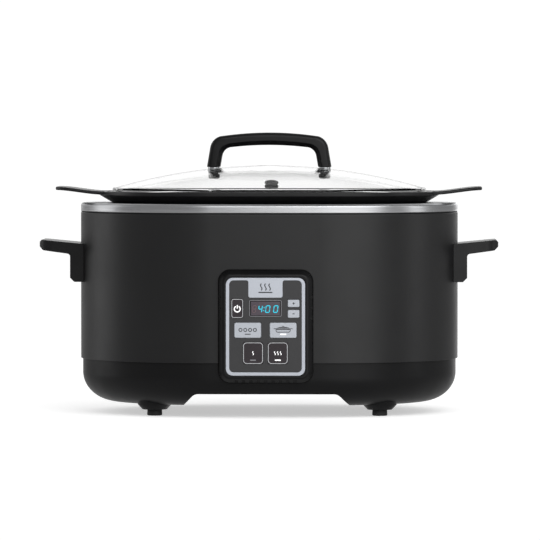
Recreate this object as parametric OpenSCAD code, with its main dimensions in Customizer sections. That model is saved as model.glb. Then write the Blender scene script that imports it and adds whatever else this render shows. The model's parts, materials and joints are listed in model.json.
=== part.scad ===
// Oval slow cooker with a lift-out pot, a glass lid and a push-button front panel.
// Millimetres, +Z up, front towards -Y, origin on the resting surface under the middle of the housing.

/* [Overall] */
// Half length of the straight stretch between the two round ends
straight_half = 56; // [45:1:80]
// Outer radius of the pot's wall at the collar
pot_r = 103; // [85:0.5:125]
// Space between the heating well and the painted shell
jacket = 28; // [23:0.5:40]
// Height of the seam between the base and the painted shell
base_h = 55.4; // [52:0.1:67]
// Height of the painted shell
shell_h = 150; // [125:0.1:200]

/* [Sheet metal] */
// Thickness of the shell, the collar and the well
sheet = 1; // [0.6:0.1:1.4]
// Air gap between the pot's wall and the well
well_gap = 4.5; // [3:0.1:8]
// Thickness of the seal between the shell and the collar
seal_t = 0.7; // [0.5:0.1:1.2]
// Height of the collar's visible band
collar_h = 8.5; // [7:0.1:14]
// Radius of the collar's top edge
collar_edge_r = 3; // [2:0.1:4]
// How far the collar's rim reaches inwards past the well's wall
collar_reach = 1.5; // [1.5:0.1:2.5]
// Width of the flanges that the shell and the well are turned to
flange_w = 4; // [3.5:0.5:8]

/* [Base] */
// How far the base stands back from the shell
base_inset = 2; // [1:0.1:3]
// Wall thickness of the base moulding
base_wall = 3; // [2:0.1:3.6]
// Height of the base's two lobes above the resting surface
lobe_z = 11.3; // [10:0.1:14]
// Height of the rounding under the base
round_h = 30; // [24:0.1:32]
// Width of the rounding under the base
round_w = 34; // [32:1:60]
// Height of the notch's ceiling between the lobes
notch_z = 23.9; // [20:0.1:27]
// Half width of the notch at its ceiling
notch_half = 72; // [60:1:76]
// How far each notch side leans out towards the lobes
notch_lean = 12; // [8:1:16]

/* [Feet] */
// Radius of a rubber foot
foot_r = 7.7; // [6:0.1:9]
// Height of a rubber foot
foot_h = 6.3; // [5:0.1:8]
// Radius of a foot's boss at the base
boss_r = 17.2; // [14:0.1:18]
// Radius of a foot's boss at the rubber foot
boss_tip_r = 13; // [10:0.1:14]
// Distance from the well's wall in to the middle of a foot
foot_inset = 7.1; // [6:0.1:12]
// Direction of a foot from the middle of the round end, in degrees
foot_angle = 54.7; // [45:0.1:60]

/* [Side handles] */
// Distance from the shell's end to the tip of a side handle
arm_reach = 41.3; // [35:0.1:50]
// Width of a side handle
arm_w = 70; // [60:1:90]
// Thickness of the arm
arm_t = 10.8; // [8:0.1:12]
// Distance from the collar's rim down to the arm's top edge
arm_drop = 41.6; // [36:0.1:55]
// How much the arm rises to its tip
arm_rise = 3.8; // [0:0.1:6]
// Thickness of the pad against the shell
pad_t = 9.4; // [8:0.1:14]
// Height of the pad against the shell
pad_h = 39.3; // [34:0.1:50]

/* [Pot] */
// Thickness of the pot's wall
pot_wall = 2.6; // [2:0.1:3.2]
// Thickness of the pot's floor
pot_floor = 3.5; // [3:0.1:5]
// How much the pot narrows from the collar to its floor
pot_taper = 7; // [3:0.5:10]
// Radius of the pot's bottom corner
pot_corner = 15; // [12:0.5:20]
// How far the lip reaches out past the pot's wall
lip_reach = 15.6; // [13.5:0.1:18]
// Height of the lip's top above the collar
lip_rise = 11.8; // [10:0.1:14]
// Thickness of the lip's edge
lip_t = 3.9; // [3:0.1:5]
// Depth of the lid's ledge below the lip's top
ledge_drop = 2.6; // [2:0.1:3.5]
// Distance from the lip to the tip of a pot tab
tab_reach = 43.6; // [38:0.1:52]
// Width of a pot tab
tab_w = 76; // [60:1:90]
// Thickness of a pot tab
tab_t = 3.5; // [3:0.1:4.5]
// How much a pot tab rises to its tip
tab_rise = 4.6; // [3:0.1:8]

/* [Lid] */
// Play between the lid's edge and the pot's ledge
lid_gap = 3; // [1.5:0.1:4]
// Height of the lid's edge
lid_edge_h = 5.2; // [4:0.1:7]
// Rise of the glass dome above its edge
dome_rise = 23.6; // [15:0.1:32]
// Thickness of the glass
glass_t = 4; // [3.5:0.1:5]
// Distance of each lid handle leg from the middle
leg_x = 57; // [48:0.1:66]
// Width of a leg at the glass
leg_w = 13.6; // [12:0.1:16]
// Height from the glass at the legs to the top of the handle
grip_h = 36.6; // [32:0.1:44]
// Thickness of the grip bar
grip_t = 12.8; // [10:0.1:15]
// Depth of the grip from front to back
grip_w = 24; // [18:1:30]
// Distance of the steam vent from the lid's middle, as a part of the lid's radius
vent_at = 0.84; // [0.7:0.01:0.9]

/* [Front panel] */
// Width of the silver trim
trim_w = 79.4; // [70:0.1:96]
// Height of the silver trim
trim_h = 98; // [94:0.1:104]
// Height of the panel's middle above the seam
panel_rise = 37.1; // [35:0.1:50]
// Width of the bezel around the trim
bezel_margin = 7.2; // [6:0.1:7.5]
// How far the bezel stands out of the shell
bezel_out = 9.3; // [8:0.1:12]
// Gap between the bezel and the shell
bezel_gap = 1; // [0.6:0.1:1.5]
// Travel of a key
key_travel = 0.8; // [0.4:0.1:1]

/* [Hidden] */
$fn = 96;

// Play between pieces that move past each other
slide_gap = 0.3;
// Play between fixed pieces that seat on a curved face
seat_gap = 0.1;
// Overshoot of a cut past the face that it opens
over = 1;

// Radii of the ovals, from the pot outwards
well_r = pot_r + well_gap;
well_out_r = well_r + sheet;
shell_in_r = well_out_r + jacket;
shell_r = shell_in_r + sheet;
base_r = shell_r - base_inset;
base_in_r = base_r - base_wall;
collar_open_r = well_r - collar_reach;
lip_r = pot_r + lip_reach;

// Heights from the bottom up
post_z = base_h - 15.4;
plate_t = 9;
well_floor_z = base_h + 34.6;
reflector_z = well_floor_z - 20;
plate_z = well_floor_z + sheet;
pot_z = plate_z + plate_t;
shell_top_z = base_h + shell_h;
collar_z = shell_top_z + seal_t;
rim_z = collar_z + collar_h;
lip_z = rim_z + lip_rise;
ledge_z = lip_z - ledge_drop;
arm_z = rim_z - arm_drop;
pad_z = arm_z - pad_h;
panel_z = base_h + panel_rise;

// Feet and the screws that run up through them
foot_ring_r = well_r - foot_inset;
foot_x = straight_half + foot_ring_r * cos(foot_angle);
foot_y = foot_ring_r * sin(foot_angle);
FEET = [[-foot_x, -foot_y], [foot_x, -foot_y], [-foot_x, foot_y], [foot_x, foot_y]];
foot_stem_r = 4.6;
foot_stem_h = 4;
sink_r = 5;
sink_z = foot_h + 9.7;
boss_top_z = base_under_z(foot_ring_r + boss_r) + base_wall / 2;
base_screw_r = 2;
base_screw_len = 44;
base_head_r = 4.3;
base_head_h = 3;
post_r = 4;

// Heating stack, inside the flat of the pot's floor
plate_r = pot_r - pot_taper - pot_corner - 15;
well_open_r = plate_r - 12;
element_at_r = well_open_r - 10;
element_r = 3.5;
element_z = plate_z - 0.5;
element_drop = 10;
terminal_x = 12;
terminal_r = 1.6;
terminal_z = reflector_z + 4;
reflector_r = foot_ring_r - post_r - flange_w - 4.4;
reflector_t = 0.8;
lead_hole_r = 6;
stem_hole_r = 5;
sensor_r = 9.2;
sensor_cap_t = 2.7;
sensor_stem_r = 3.5;
sensor_top_z = pot_z - slide_gap;
guide_in_r = sensor_r + 0.6;
guide_wall = 1.4;
guide_z = reflector_z + 3;
guide_floor = 1.5;
guide_flange_r = 17;
guide_flange_t = 1.5;
spring_at_r = 6.6;
spring_wire_r = 0.6;
spring_turns = 6;
cutoff_x = 42;
cutoff_r = 8;
cutoff_h = 5;

// Power board on the bridge between the lobes
bridge_z = notch_z + base_wall;
board_t = 1.6;
board_z = bridge_z + 7.1;
board_w = 120;
board_d = 90;
board_y = 25;
board_hole_inset = 5;
board_top_z = board_z + board_t;
stud_r = 3.4;
small_screw_r = 1.4;
small_head_r = 2.7;
small_head_h = 1.8;
small_screw_len = 6;
pilot_gap = 0.05;

// Side handles
shell_end_x = straight_half + shell_r;
handle_screw_y = 20;
handle_screw_z = pad_z + 20;
handle_screw_r = 2;
handle_head_r = 3.8;
handle_head_h = 2.4;
handle_screw_grip = 6;
handle_screw_spare = 3.2;
backing_t = 1.5;
backing_w = 56;
backing_h = 22;

// Front panel, measured along Y from the shell's flat front
front_y = -shell_r;
bezel_y = front_y - bezel_out;
trim_t = 2.5;
plate_drop = 0.3;
trim_y = bezel_y + 0.2;
panel_back_y = trim_y + trim_t;
bezel_w = trim_w + 2 * bezel_margin;
bezel_h = trim_h + 2 * bezel_margin;
bezel_corner = 11.4;
trim_corner = 7;
bezel_wall = 2.5;
bevel_w = 4;
bevel_d = 5.5;
bezel_ledge = 2;
bezel_web = 2;
bezel_flange = 3;
bezel_flange_t = 2;
bezel_back_y = -base_in_r + 0.2 + bezel_flange_t;
control_depth = 10.4;
control_y = panel_back_y + control_depth;
control_t = 1.6;
control_w = bezel_w - 2 * bezel_wall - 2;
control_h = bezel_h - 2 * bezel_wall - 2;
control_hole_inset = 5;
control_corner = bezel_corner - bezel_wall - 1;
window_margin = 3.4;
window_top = 2.5;
window_bottom = 3.3;
window_corner = 4.5;
crest_w = 34.3;
crest_h = 19.9;
overlay_gap = 0.1;
switch_h = 3.5;
switch_w = 6;
window_half = trim_w / 2 - window_margin;
display_w = 2 * window_half - 39.8;
display_h = 16.9;
display_z = 18.45;
key_gap = 0.35;
key_proud = 0.6;
key_flange = 1;
key_flange_t = 0.9;
key_stem_r = 1.9;
key_corner = 1.6;
side_key_w = 11.6;
side_key_x = window_half - 8.1;
mode_half_gap = 4.4;
mode_key_w = window_half - mode_half_gap - 5.2;
mode_key_x = mode_half_gap + mode_key_w / 2;
level_key_w = 19.8;
level_key_x = 12.4;
// Each key: middle across and up from the panel's middle, then width and height
POWER_KEY = [-side_key_x, 18.4, side_key_w, 18.8];
PLUS_KEY = [side_key_x, 23.45, side_key_w, 7.3];
MINUS_KEY = [side_key_x, 13, side_key_w, 7.75];
STOVE_KEY = [-mode_key_x, -3.45, mode_key_w, 15.1];
SLOW_COOK_KEY = [mode_key_x, -3.45, mode_key_w, 15.1];
LOW_KEY = [-level_key_x, -26.45, level_key_w, 21.4];
HIGH_KEY = [level_key_x, -26.45, level_key_w, 21.4];
KEYS = [POWER_KEY, PLUS_KEY, MINUS_KEY, STOVE_KEY, SLOW_COOK_KEY, LOW_KEY, HIGH_KEY];

// Lid
ledge_w = 6.5;
ledge_edge = 1.1;
lid_r = pot_r - pot_wall + ledge_w + ledge_edge - lid_gap;
lid_edge_z = ledge_z + lid_edge_h;
lid_bead = 0.95;
lid_half_x = straight_half + lid_r;
washer_r = 6;
washer_t = 1.5;
leg_z = dome_z(leg_x / lid_half_x) + washer_t;
grip_z = dome_z(leg_x / lid_half_x) + grip_h;
grip_sag = 3.5;
grip_corner = 14.5;
grip_chamfer = 4;
lid_screw_r = 2;
lid_screw_grip = 12;
lid_boss_r = 6;
bushing_r = 4.4;
lid_boss_z = ledge_z + 16;
lid_head_r = 3.8;
lid_head_h = 2.6;
lid_seat_z = lid_boss_z + lid_head_h + 0.4;
vent_y = vent_at * lid_r;
vent_tilt = atan(2 * dome_rise * vent_at / lid_r);
vent_r = 2;
vent_neck_r = 4.2;
vent_flange_r = 7.25;
vent_flange_t = 2;

// Cord gland in the rear wall of the base
gland_x = 40;
gland_z = base_h - 7.2;
gland_bore_r = 3.8;
gland_neck_r = 5;
gland_flange_r = 6.9;
gland_out = 11.4;

// Height of the base's rounded underside, at a distance from the middle of the oval
function base_under_z(r) =
    lobe_z + round_h * (1 - sqrt(1 - pow(max(0, r - base_r + round_w) / round_w, 2)));

// Height of the glass dome's top face, at a part of the way from its middle to its edge
function dome_z(part) = lid_edge_z + dome_rise * (1 - part * part);

// Points of an arc, from one angle to another
function arc(centre, r, from, to, steps = 8) = [
    for (i = [0:steps])
        let (angle = from + (to - from) * i / steps)
            centre + r * [cos(angle), sin(angle)]
];

// Corner points of a rectangle with round corners, around the origin
function round_rect(w, h, r) = concat(
    arc([w / 2 - r, h / 2 - r], r, 0, 90, 6),
    arc([r - w / 2, h / 2 - r], r, 90, 180, 6),
    arc([r - w / 2, r - h / 2], r, 180, 270, 6),
    arc([w / 2 - r, r - h / 2], r, 270, 360, 6)
);

// Turns a radius-height outline into an oval ring: two half turns joined by a straight stretch
module oval_ring() {
    translate([straight_half, 0, 0]) rotate([0, 0, -90]) rotate_extrude(angle = 180) children();
    translate([-straight_half, 0, 0]) rotate([0, 0, 90]) rotate_extrude(angle = 180) children();
    for (side = [0, 1])
        mirror([0, side, 0])
            translate([-straight_half, 0, 0])
                rotate([90, 0, 90])
                    linear_extrude(2 * straight_half) children();
}

// Oval ring of rectangular section
module oval_band(inner_r, outer_r, low, high) {
    oval_ring()
        translate([inner_r, low])
            square([outer_r - inner_r, high - low]);
}

// Extrudes an outline drawn across (X) and up (Z) along Y, from one depth to another
module along_y(from, to) {
    translate([0, to, 0])
        rotate([90, 0, 0])
            linear_extrude(to - from) children();
}

// Rounded rectangle standing up, facing the front, with its middle at the panel's middle plus (x, z)
module panel_block(x, z, w, h, r, from, to) {
    along_y(from, to)
        translate([x, panel_z + z])
            polygon(round_rect(w, h, r));
}

// Upright pan-head screw with its head's flat under face at z = 0 and its shank pointing up
module screw_up(shank_r, shank_len, head_r, head_h) {
    cylinder(r = shank_r, h = shank_len);
    translate([0, 0, -head_h])
        cylinder(r = head_r, h = head_h);
}

// ---------------------------------------------------------------- housing

// Opening in the shell and the base that the bezel comes out of
module bezel_opening() {
    panel_block(0, 0, bezel_w + 2 * bezel_gap, bezel_h + 2 * bezel_gap, bezel_corner + bezel_gap,
        front_y - over, -base_in_r + over);
}

// Places a drilling through the shell behind each side handle, pointing along X
module at_handle_screws(side) {
    for (y = [-handle_screw_y, handle_screw_y])
        translate([side * (shell_end_x - pad_t), y, handle_screw_z])
            rotate([0, side * 90, 0])
                children();
}

module outer_shell() {
    color("#34363a")
        difference() {
            oval_ring()
                polygon([
                    [shell_in_r - flange_w, base_h],
                    [shell_r, base_h],
                    [shell_r, shell_top_z],
                    [shell_in_r - flange_w, shell_top_z],
                    [shell_in_r - flange_w, shell_top_z - sheet],
                    [shell_in_r, shell_top_z - sheet],
                    [shell_in_r, base_h + sheet],
                    [shell_in_r - flange_w, base_h + sheet]
                ]);
            bezel_opening();
            for (side = [-1, 1])
                at_handle_screws(side)
                    cylinder(r = handle_screw_r + slide_gap, h = 3 * pad_t);
        }
}

module shell_seal() {
    color("#101010")
        oval_band(shell_in_r - flange_w, shell_r - slide_gap, shell_top_z, collar_z);
}

module rim_collar() {
    color("#b9bbbd")
        oval_ring()
            polygon(concat(
                [[shell_r - sheet, collar_z], [shell_r, collar_z]],
                arc([shell_r - collar_edge_r, rim_z - collar_edge_r], collar_edge_r, 0, 90, 8),
                [
                    [collar_open_r, rim_z],
                    [collar_open_r, rim_z - flange_w],
                    [collar_open_r + sheet, rim_z - flange_w],
                    [collar_open_r + sheet, rim_z - sheet]
                ],
                arc([shell_r - collar_edge_r, rim_z - collar_edge_r], collar_edge_r - sheet, 90, 0, 8)
            ));
}

module heating_well() {
    well_flange_r = well_out_r + 3 * flange_w;
    color("#a7a9ab")
        oval_ring()
            polygon([
                [well_open_r, well_floor_z],
                [well_out_r, well_floor_z],
                [well_out_r, rim_z - 2 * sheet],
                [well_flange_r, rim_z - 2 * sheet],
                [well_flange_r, rim_z - sheet],
                [well_r, rim_z - sheet],
                [well_r, well_floor_z + sheet],
                [well_open_r, well_floor_z + sheet]
            ]);
}

// Half section of the base's outer or inner form, filled to the middle
module base_section(wall) {
    width = round_w - wall;
    drop = round_h - wall;
    steps = 14;
    polygon(concat(
        [[0, base_h + (wall > 0 ? over : 0)], [0, lobe_z + wall]],
        [for (i = [0:steps]) [
            base_r - round_w + width * sin(90 * i / steps),
            lobe_z + round_h - drop * cos(90 * i / steps)
        ]],
        [[base_r - wall, base_h + (wall > 0 ? over : 0)]]
    ));
}

// Notch between the two lobes, running from front to back
module notch(wall) {
    depth = base_r + 2 * over;
    top = notch_z + wall;
    half = notch_half + wall;
    edge = 8;
    foot_half = half + notch_lean;
    along_y(-depth, depth)
        polygon(concat(
            [[-foot_half - over, -over], [foot_half + over, -over]],
            [[foot_half, lobe_z]],
            arc([half - edge / 2, top - edge], edge, 30, 90, 5),
            arc([edge / 2 - half, top - edge], edge, 90, 150, 5),
            [[-foot_half, lobe_z]]
        ));
}

module base_housing() {
    color("#1f2022")
        difference() {
            union() {
                difference() {
                    oval_ring()
                        base_section(0);
                    difference() {
                        oval_ring()
                            base_section(base_wall);
                        notch(base_wall);
                    }
                    notch(0);
                    bezel_opening();
                }
                for (at = FEET)
                    translate([at.x, at.y, 0]) {
                        translate([0, 0, foot_h])
                            cylinder(r1 = boss_tip_r, r2 = boss_r, h = lobe_z - foot_h);
                        translate([0, 0, lobe_z])
                            cylinder(r = boss_r, h = boss_top_z - lobe_z);
                        translate([0, 0, sink_z])
                            cylinder(r = post_r + base_wall, h = post_z - sink_z);
                    }
                at_board_holes()
                    translate([0, 0, bridge_z - base_wall / 2])
                        cylinder(r = stud_r, h = board_z - bridge_z + base_wall / 2);
            }
            for (at = FEET)
                translate([at.x, at.y, 0]) {
                    cylinder(r = sink_r, h = sink_z);
                    cylinder(r = base_screw_r + slide_gap, h = post_z + over);
                }
            at_board_holes()
                translate([0, 0, board_z - small_screw_len + board_t - over])
                    cylinder(r = small_screw_r + pilot_gap, h = small_screw_len + over);
            translate([gland_x, base_r, gland_z])
                rotate([90, 0, 0])
                    translate([0, 0, -over])
                        cylinder(r = gland_neck_r, h = base_wall + 2 * over);
        }
}

module tie_posts() {
    screw_top_z = sink_z + base_screw_len;
    color("#9a9c9e")
        for (at = FEET)
            translate([at.x, at.y, post_z])
                difference() {
                    cylinder(r = post_r, h = well_floor_z - post_z);
                    translate([0, 0, -over])
                        cylinder(r = base_screw_r + pilot_gap, h = screw_top_z - post_z + 2 * over);
                }
}

module base_screws() {
    color("#8d8f92")
        for (at = FEET)
            translate([at.x, at.y, sink_z])
                screw_up(base_screw_r, base_screw_len, base_head_r, base_head_h);
}

module rubber_foot(at) {
    edge = 0.8;
    stem_top = foot_h + foot_stem_h;
    color("#151515")
        translate([at.x, at.y, 0])
            rotate_extrude()
                polygon([
                    [0, 0], [foot_r - edge, 0], [foot_r, edge], [foot_r, foot_h],
                    [foot_stem_r, foot_h], [foot_stem_r, stem_top], [0, stem_top]
                ]);
}

module foot_front_left() { rubber_foot(FEET[0]); }
module foot_front_right() { rubber_foot(FEET[1]); }
module foot_rear_left() { rubber_foot(FEET[2]); }
module foot_rear_right() { rubber_foot(FEET[3]); }

// ---------------------------------------------------------------- side handles

// Handle at the right-hand end: an arm that slopes up to its tip, over a pad against the shell
module side_handle() {
    tip_x = shell_end_x + arm_reach;
    root_x = shell_end_x - pad_t;
    tip_z = arm_z + arm_rise;
    pad_x = shell_end_x + pad_t;
    tip_corner = 14;
    pad_chamfer = 4.3;
    tip_chamfer = 4;
    top_chamfer = 2.5;
    fillet = 3;
    fillet_z = arm_z - arm_t - fillet - 0.2;
    color("#242527")
        difference() {
            intersection() {
                along_y(-arm_w / 2, arm_w / 2)
                    polygon(concat(
                        [[root_x, pad_z], [pad_x - pad_chamfer, pad_z], [pad_x, pad_z + pad_chamfer]],
                        arc([pad_x + fillet, fillet_z], fillet, 180, 96, 5),
                        [[tip_x - tip_chamfer, tip_z - arm_t], [tip_x, tip_z - arm_t + tip_chamfer]],
                        [[tip_x, tip_z - top_chamfer], [tip_x - top_chamfer, tip_z]],
                        [[shell_end_x, arm_z], [root_x, arm_z]]
                    ));
                linear_extrude(2 * arm_z)
                    translate([tip_x - arm_w, 0])
                        polygon(round_rect(2 * arm_w, arm_w, tip_corner));
            }
            translate([straight_half, 0, 0])
                cylinder(r = shell_r + seat_gap, h = 2 * arm_z);
            for (y = [-handle_screw_y, handle_screw_y])
                translate([shell_end_x - pad_t, y, handle_screw_z])
                    rotate([0, 90, 0])
                        cylinder(r = handle_screw_r + pilot_gap, h = pad_t + handle_screw_grip);
        }
}

module right_handle() { side_handle(); }
module left_handle() { mirror([1, 0, 0]) side_handle(); }

// Distance along X to the inner face of the backing plate, which clears the shell's curve at its ends
backing_x = straight_half + sqrt(pow(shell_in_r - seat_gap, 2) - pow(backing_w / 2, 2));

module handle_backing_plates() {
    color("#8d8f92")
        for (side = [-1, 1])
            difference() {
                translate([side * (backing_x - backing_t / 2), 0, handle_screw_z])
                    cube([backing_t, backing_w, backing_h], center = true);
                for (y = [-handle_screw_y, handle_screw_y])
                    translate([side * (backing_x - backing_t - over), y, handle_screw_z])
                        rotate([0, side * 90, 0])
                            cylinder(r = handle_screw_r + slide_gap, h = backing_t + 2 * over);
            }
}

module handle_screws() {
    tip_x = shell_end_x + handle_screw_grip - handle_screw_spare;
    head_x = backing_x - backing_t;
    color("#8d8f92")
        for (side = [-1, 1], y = [-handle_screw_y, handle_screw_y])
            translate([side * head_x, y, handle_screw_z])
                rotate([0, side * 90, 0])
                    screw_up(handle_screw_r, tip_x - head_x, handle_head_r, handle_head_h);
}

// ---------------------------------------------------------------- front panel

module panel_bezel() {
    slot_w = 3.5;
    slot_pitch = 7.37;
    slot_depth = 1.2;
    slot_y = bezel_y + bevel_d / 2 + 0.5;
    body_y = bezel_y + bevel_d;
    flange_margin = 2 * (bezel_gap + bezel_flange);
    color("#232426")
        difference() {
            union() {
                hull() {
                    panel_block(0, 0, bezel_w - 2 * bevel_w, bezel_h - 2 * bevel_w,
                        bezel_corner - bevel_w / 2, bezel_y, bezel_y + seat_gap);
                    panel_block(0, 0, bezel_w, bezel_h, bezel_corner, body_y - seat_gap, body_y);
                }
                panel_block(0, 0, bezel_w, bezel_h, bezel_corner, body_y, bezel_back_y);
                intersection() {
                    panel_block(0, 0, bezel_w + flange_margin, bezel_h + flange_margin, bezel_corner,
                        bezel_back_y - bezel_flange_t, bezel_back_y);
                    translate([-bezel_w, -2 * shell_r, lobe_z + round_h])
                        cube([2 * bezel_w, 2 * shell_r, 2 * bezel_h]);
                }
            }
            panel_block(0, 0, trim_w + 2 * seat_gap, trim_h + 2 * seat_gap, trim_corner,
                bezel_y - over, panel_back_y);
            panel_block(0, 0, trim_w - 2 * bezel_ledge, trim_h - 2 * bezel_ledge, trim_corner - bezel_ledge,
                bezel_y - over, bezel_back_y + over);
            difference() {
                panel_block(0, 0, bezel_w - 2 * bezel_wall, bezel_h - 2 * bezel_wall,
                    bezel_corner - bezel_wall, panel_back_y + bezel_web, bezel_back_y + over);
                at_control_holes()
                    cylinder(r = small_head_r + 0.4, h = control_depth);
            }
            at_control_holes()
                cylinder(r = small_screw_r + pilot_gap, h = small_screw_len);
            for (i = [-4:4])
                translate([i * slot_pitch - slot_w / 2, bezel_y + 1, panel_z - bezel_h / 2 - over])
                    cube([slot_w, bevel_d, slot_depth + over]);
            for (side = [-1, 1], z = [8.1, 19, 29.8])
                translate([side * (bezel_w + over - slot_depth) / 2, slot_y, panel_z + z])
                    cube([slot_depth + over, bevel_d, slot_w], center = true);
        }
}

// Window in the trim that shows the plate and its keys
module window_outline(gap) {
    difference() {
        translate([0, (window_bottom - window_top) / 2])
            polygon(round_rect(trim_w - 2 * window_margin - 2 * gap,
                trim_h - window_top - window_bottom - 2 * gap, window_corner));
        translate([0, trim_h / 2])
            polygon(round_rect(crest_w + 2 * gap, 2 * (crest_h + gap), window_corner));
    }
}

module panel_trim() {
    color("#b9bdc4")
        difference() {
            panel_block(0, 0, trim_w, trim_h, trim_corner, trim_y, panel_back_y);
            along_y(trim_y - over, panel_back_y + over)
                translate([0, panel_z])
                    window_outline(0);
        }
}

module key_hole(key, extra) {
    panel_block(key[0], key[1], key[2] + 2 * extra, key[3] + 2 * extra, key_corner + extra,
        trim_y - over, panel_back_y + over);
}

module panel_plate() {
    color("#44464a")
        difference() {
            along_y(trim_y + plate_drop, panel_back_y)
                translate([0, panel_z])
                    window_outline(overlay_gap);
            for (key = KEYS)
                key_hole(key, key_gap);
            panel_block(0, display_z, display_w, display_h, key_corner, trim_y - over, panel_back_y + over);
        }
}

module display_lens() {
    color("#08090b")
        panel_block(0, display_z, display_w - 2 * overlay_gap, display_h - 2 * overlay_gap, key_corner,
            trim_y + plate_drop, panel_back_y - overlay_gap);
}

module display_module() {
    color("#d9d9d2")
        panel_block(0, display_z, display_w - 3, display_h - 3, 1, panel_back_y + 0.2, control_y);
}

// A key: its cap in the plate, a flange behind the plate and a stem towards its switch
module key(key) {
    stem_y = control_y - switch_h - key_travel - pilot_gap;
    front = trim_y + plate_drop - key_proud;
    back = panel_back_y + seat_gap;
    panel_block(key[0], key[1], key[2], key[3], key_corner, front, back);
    panel_block(key[0], key[1], key[2] + 2 * key_flange, key[3] + 2 * key_flange, key_corner,
        back, back + key_flange_t);
    translate([key[0], back, panel_z + key[1]])
        rotate([-90, 0, 0])
            cylinder(r = key_stem_r, h = stem_y - back);
}

module power_key() { color("#3c3d40") key(POWER_KEY); }
module plus_key() { color("#b4b8c0") key(PLUS_KEY); }
module minus_key() { color("#b4b8c0") key(MINUS_KEY); }
module stove_key() { color("#b4b8c0") key(STOVE_KEY); }
module slow_cook_key() { color("#b4b8c0") key(SLOW_COOK_KEY); }
module low_key() { color("#3c3d40") key(LOW_KEY); }
module high_key() { color("#3c3d40") key(HIGH_KEY); }

module tact_switches() {
    color("#6b6e73")
        for (key = KEYS)
            translate([key[0], control_y - switch_h / 2, panel_z + key[1]])
                cube([switch_w, switch_h, switch_w], center = true);
}

// Places a part at each corner screw of the control board, pointing towards the front
module at_control_holes() {
    for (x = [-1, 1], z = [-1, 1])
        translate([
            x * (control_w / 2 - control_hole_inset), control_y,
            panel_z + z * (control_h / 2 - control_hole_inset)
        ])
            rotate([90, 0, 0])
                children();
}

module control_board() {
    color("#1d5a35")
        difference() {
            panel_block(0, 0, control_w, control_h, control_corner, control_y, control_y + control_t);
            at_control_holes()
                translate([0, 0, -control_t - over])
                    cylinder(r = small_screw_r + slide_gap, h = control_t + 2 * over);
        }
}

module control_board_screws() {
    color("#8d8f92")
        at_control_holes()
            translate([0, 0, -control_t])
                screw_up(small_screw_r, small_screw_len + control_t - 1, small_head_r, small_head_h);
}

// Flat cable from the control board's back, under the well, to the power board's top
module ribbon_cable() {
    cable_w = 22;
    cable_t = 1;
    slope = 12;
    flat = 10;
    start_y = control_y + control_t;
    end_y = board_y - board_d / 2 + 12;
    high_z = base_h - 9;
    low_z = board_top_z;
    bend = end_y - flat - slope;
    shift = 0.6 * cable_t;
    color("#b6b2a6")
        translate([-cable_w / 2, 0, 0])
            rotate([90, 0, 90])
                linear_extrude(cable_w)
                    polygon([
                        [start_y, high_z], [bend, high_z], [bend + slope, low_z], [end_y, low_z],
                        [end_y, low_z + cable_t], [bend + slope + shift, low_z + cable_t],
                        [bend + shift, high_z + cable_t], [start_y, high_z + cable_t]
                    ]);
}

// ---------------------------------------------------------------- heating

module heating_plate() {
    color("#7d7f82")
        difference() {
            oval_band(0, plate_r, plate_z, pot_z);
            oval_ring()
                translate([element_at_r, element_z])
                    circle(r = element_r + slide_gap);
            translate([0, 0, plate_z - over])
                cylinder(r = guide_in_r, h = plate_t + 2 * over);
        }
}

// Tubular element: an oval ring with a gap at the back, where its two cold ends turn down
module heating_element() {
    color("#5b5d60")
        difference() {
            union() {
                oval_ring()
                    translate([element_at_r, element_z])
                        circle(r = element_r);
                for (x = [-terminal_x, terminal_x])
                    translate([x, element_at_r, element_z - element_drop])
                        cylinder(r = element_r - 0.2, h = element_drop);
            }
            translate([-terminal_x, element_at_r - 2 * element_r, element_z - 2 * element_r])
                cube([2 * terminal_x, 4 * element_r, 4 * element_r]);
        }
}

module element_terminals() {
    color("#c9c4b4")
        for (x = [-terminal_x, terminal_x])
            translate([x, element_at_r, terminal_z])
                cylinder(r = terminal_r, h = element_z - element_drop - terminal_z);
}

module heat_reflector() {
    flange_z = well_floor_z - reflector_t;
    color("#b4b6b8")
        difference() {
            oval_ring()
                polygon([
                    [0, reflector_z], [reflector_r, reflector_z], [reflector_r, flange_z],
                    [reflector_r + flange_w, flange_z], [reflector_r + flange_w, well_floor_z],
                    [reflector_r - reflector_t, well_floor_z],
                    [reflector_r - reflector_t, reflector_z + reflector_t], [0, reflector_z + reflector_t]
                ]);
            for (x = [-terminal_x, terminal_x])
                translate([x, element_at_r, reflector_z - over])
                    cylinder(r = lead_hole_r, h = reflector_t + 2 * over);
            translate([0, 0, reflector_z - over])
                cylinder(r = stem_hole_r, h = reflector_t + 2 * over);
        }
}

module insulation_blanket() {
    blanket_gap = 1;
    color("#d8d2bd")
        oval_band(well_out_r + blanket_gap, -bezel_back_y - bezel_flange_t - slide_gap,
            well_floor_z + 2 * blanket_gap, shell_top_z - 3 * blanket_gap);
}

module sensor_guide() {
    bore_r = sensor_stem_r + slide_gap;
    outer_r = guide_in_r + guide_wall;
    flange_z = plate_z - guide_flange_t;
    color("#8d8f92")
        rotate_extrude()
            polygon([
                [bore_r, guide_z], [outer_r, guide_z], [outer_r, flange_z], [guide_flange_r, flange_z],
                [guide_flange_r, plate_z], [guide_in_r, plate_z], [guide_in_r, guide_z + guide_floor],
                [bore_r, guide_z + guide_floor]
            ]);
}

module temperature_sensor() {
    stem_z = guide_z - 1;
    cap_z = sensor_top_z - sensor_cap_t;
    edge = 0.6;
    color("#c6c8ca")
        rotate_extrude()
            polygon([
                [0, stem_z], [sensor_stem_r, stem_z], [sensor_stem_r, cap_z], [sensor_r, cap_z],
                [sensor_r, sensor_top_z - edge], [sensor_r - edge, sensor_top_z], [0, sensor_top_z]
            ]);
}

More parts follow.
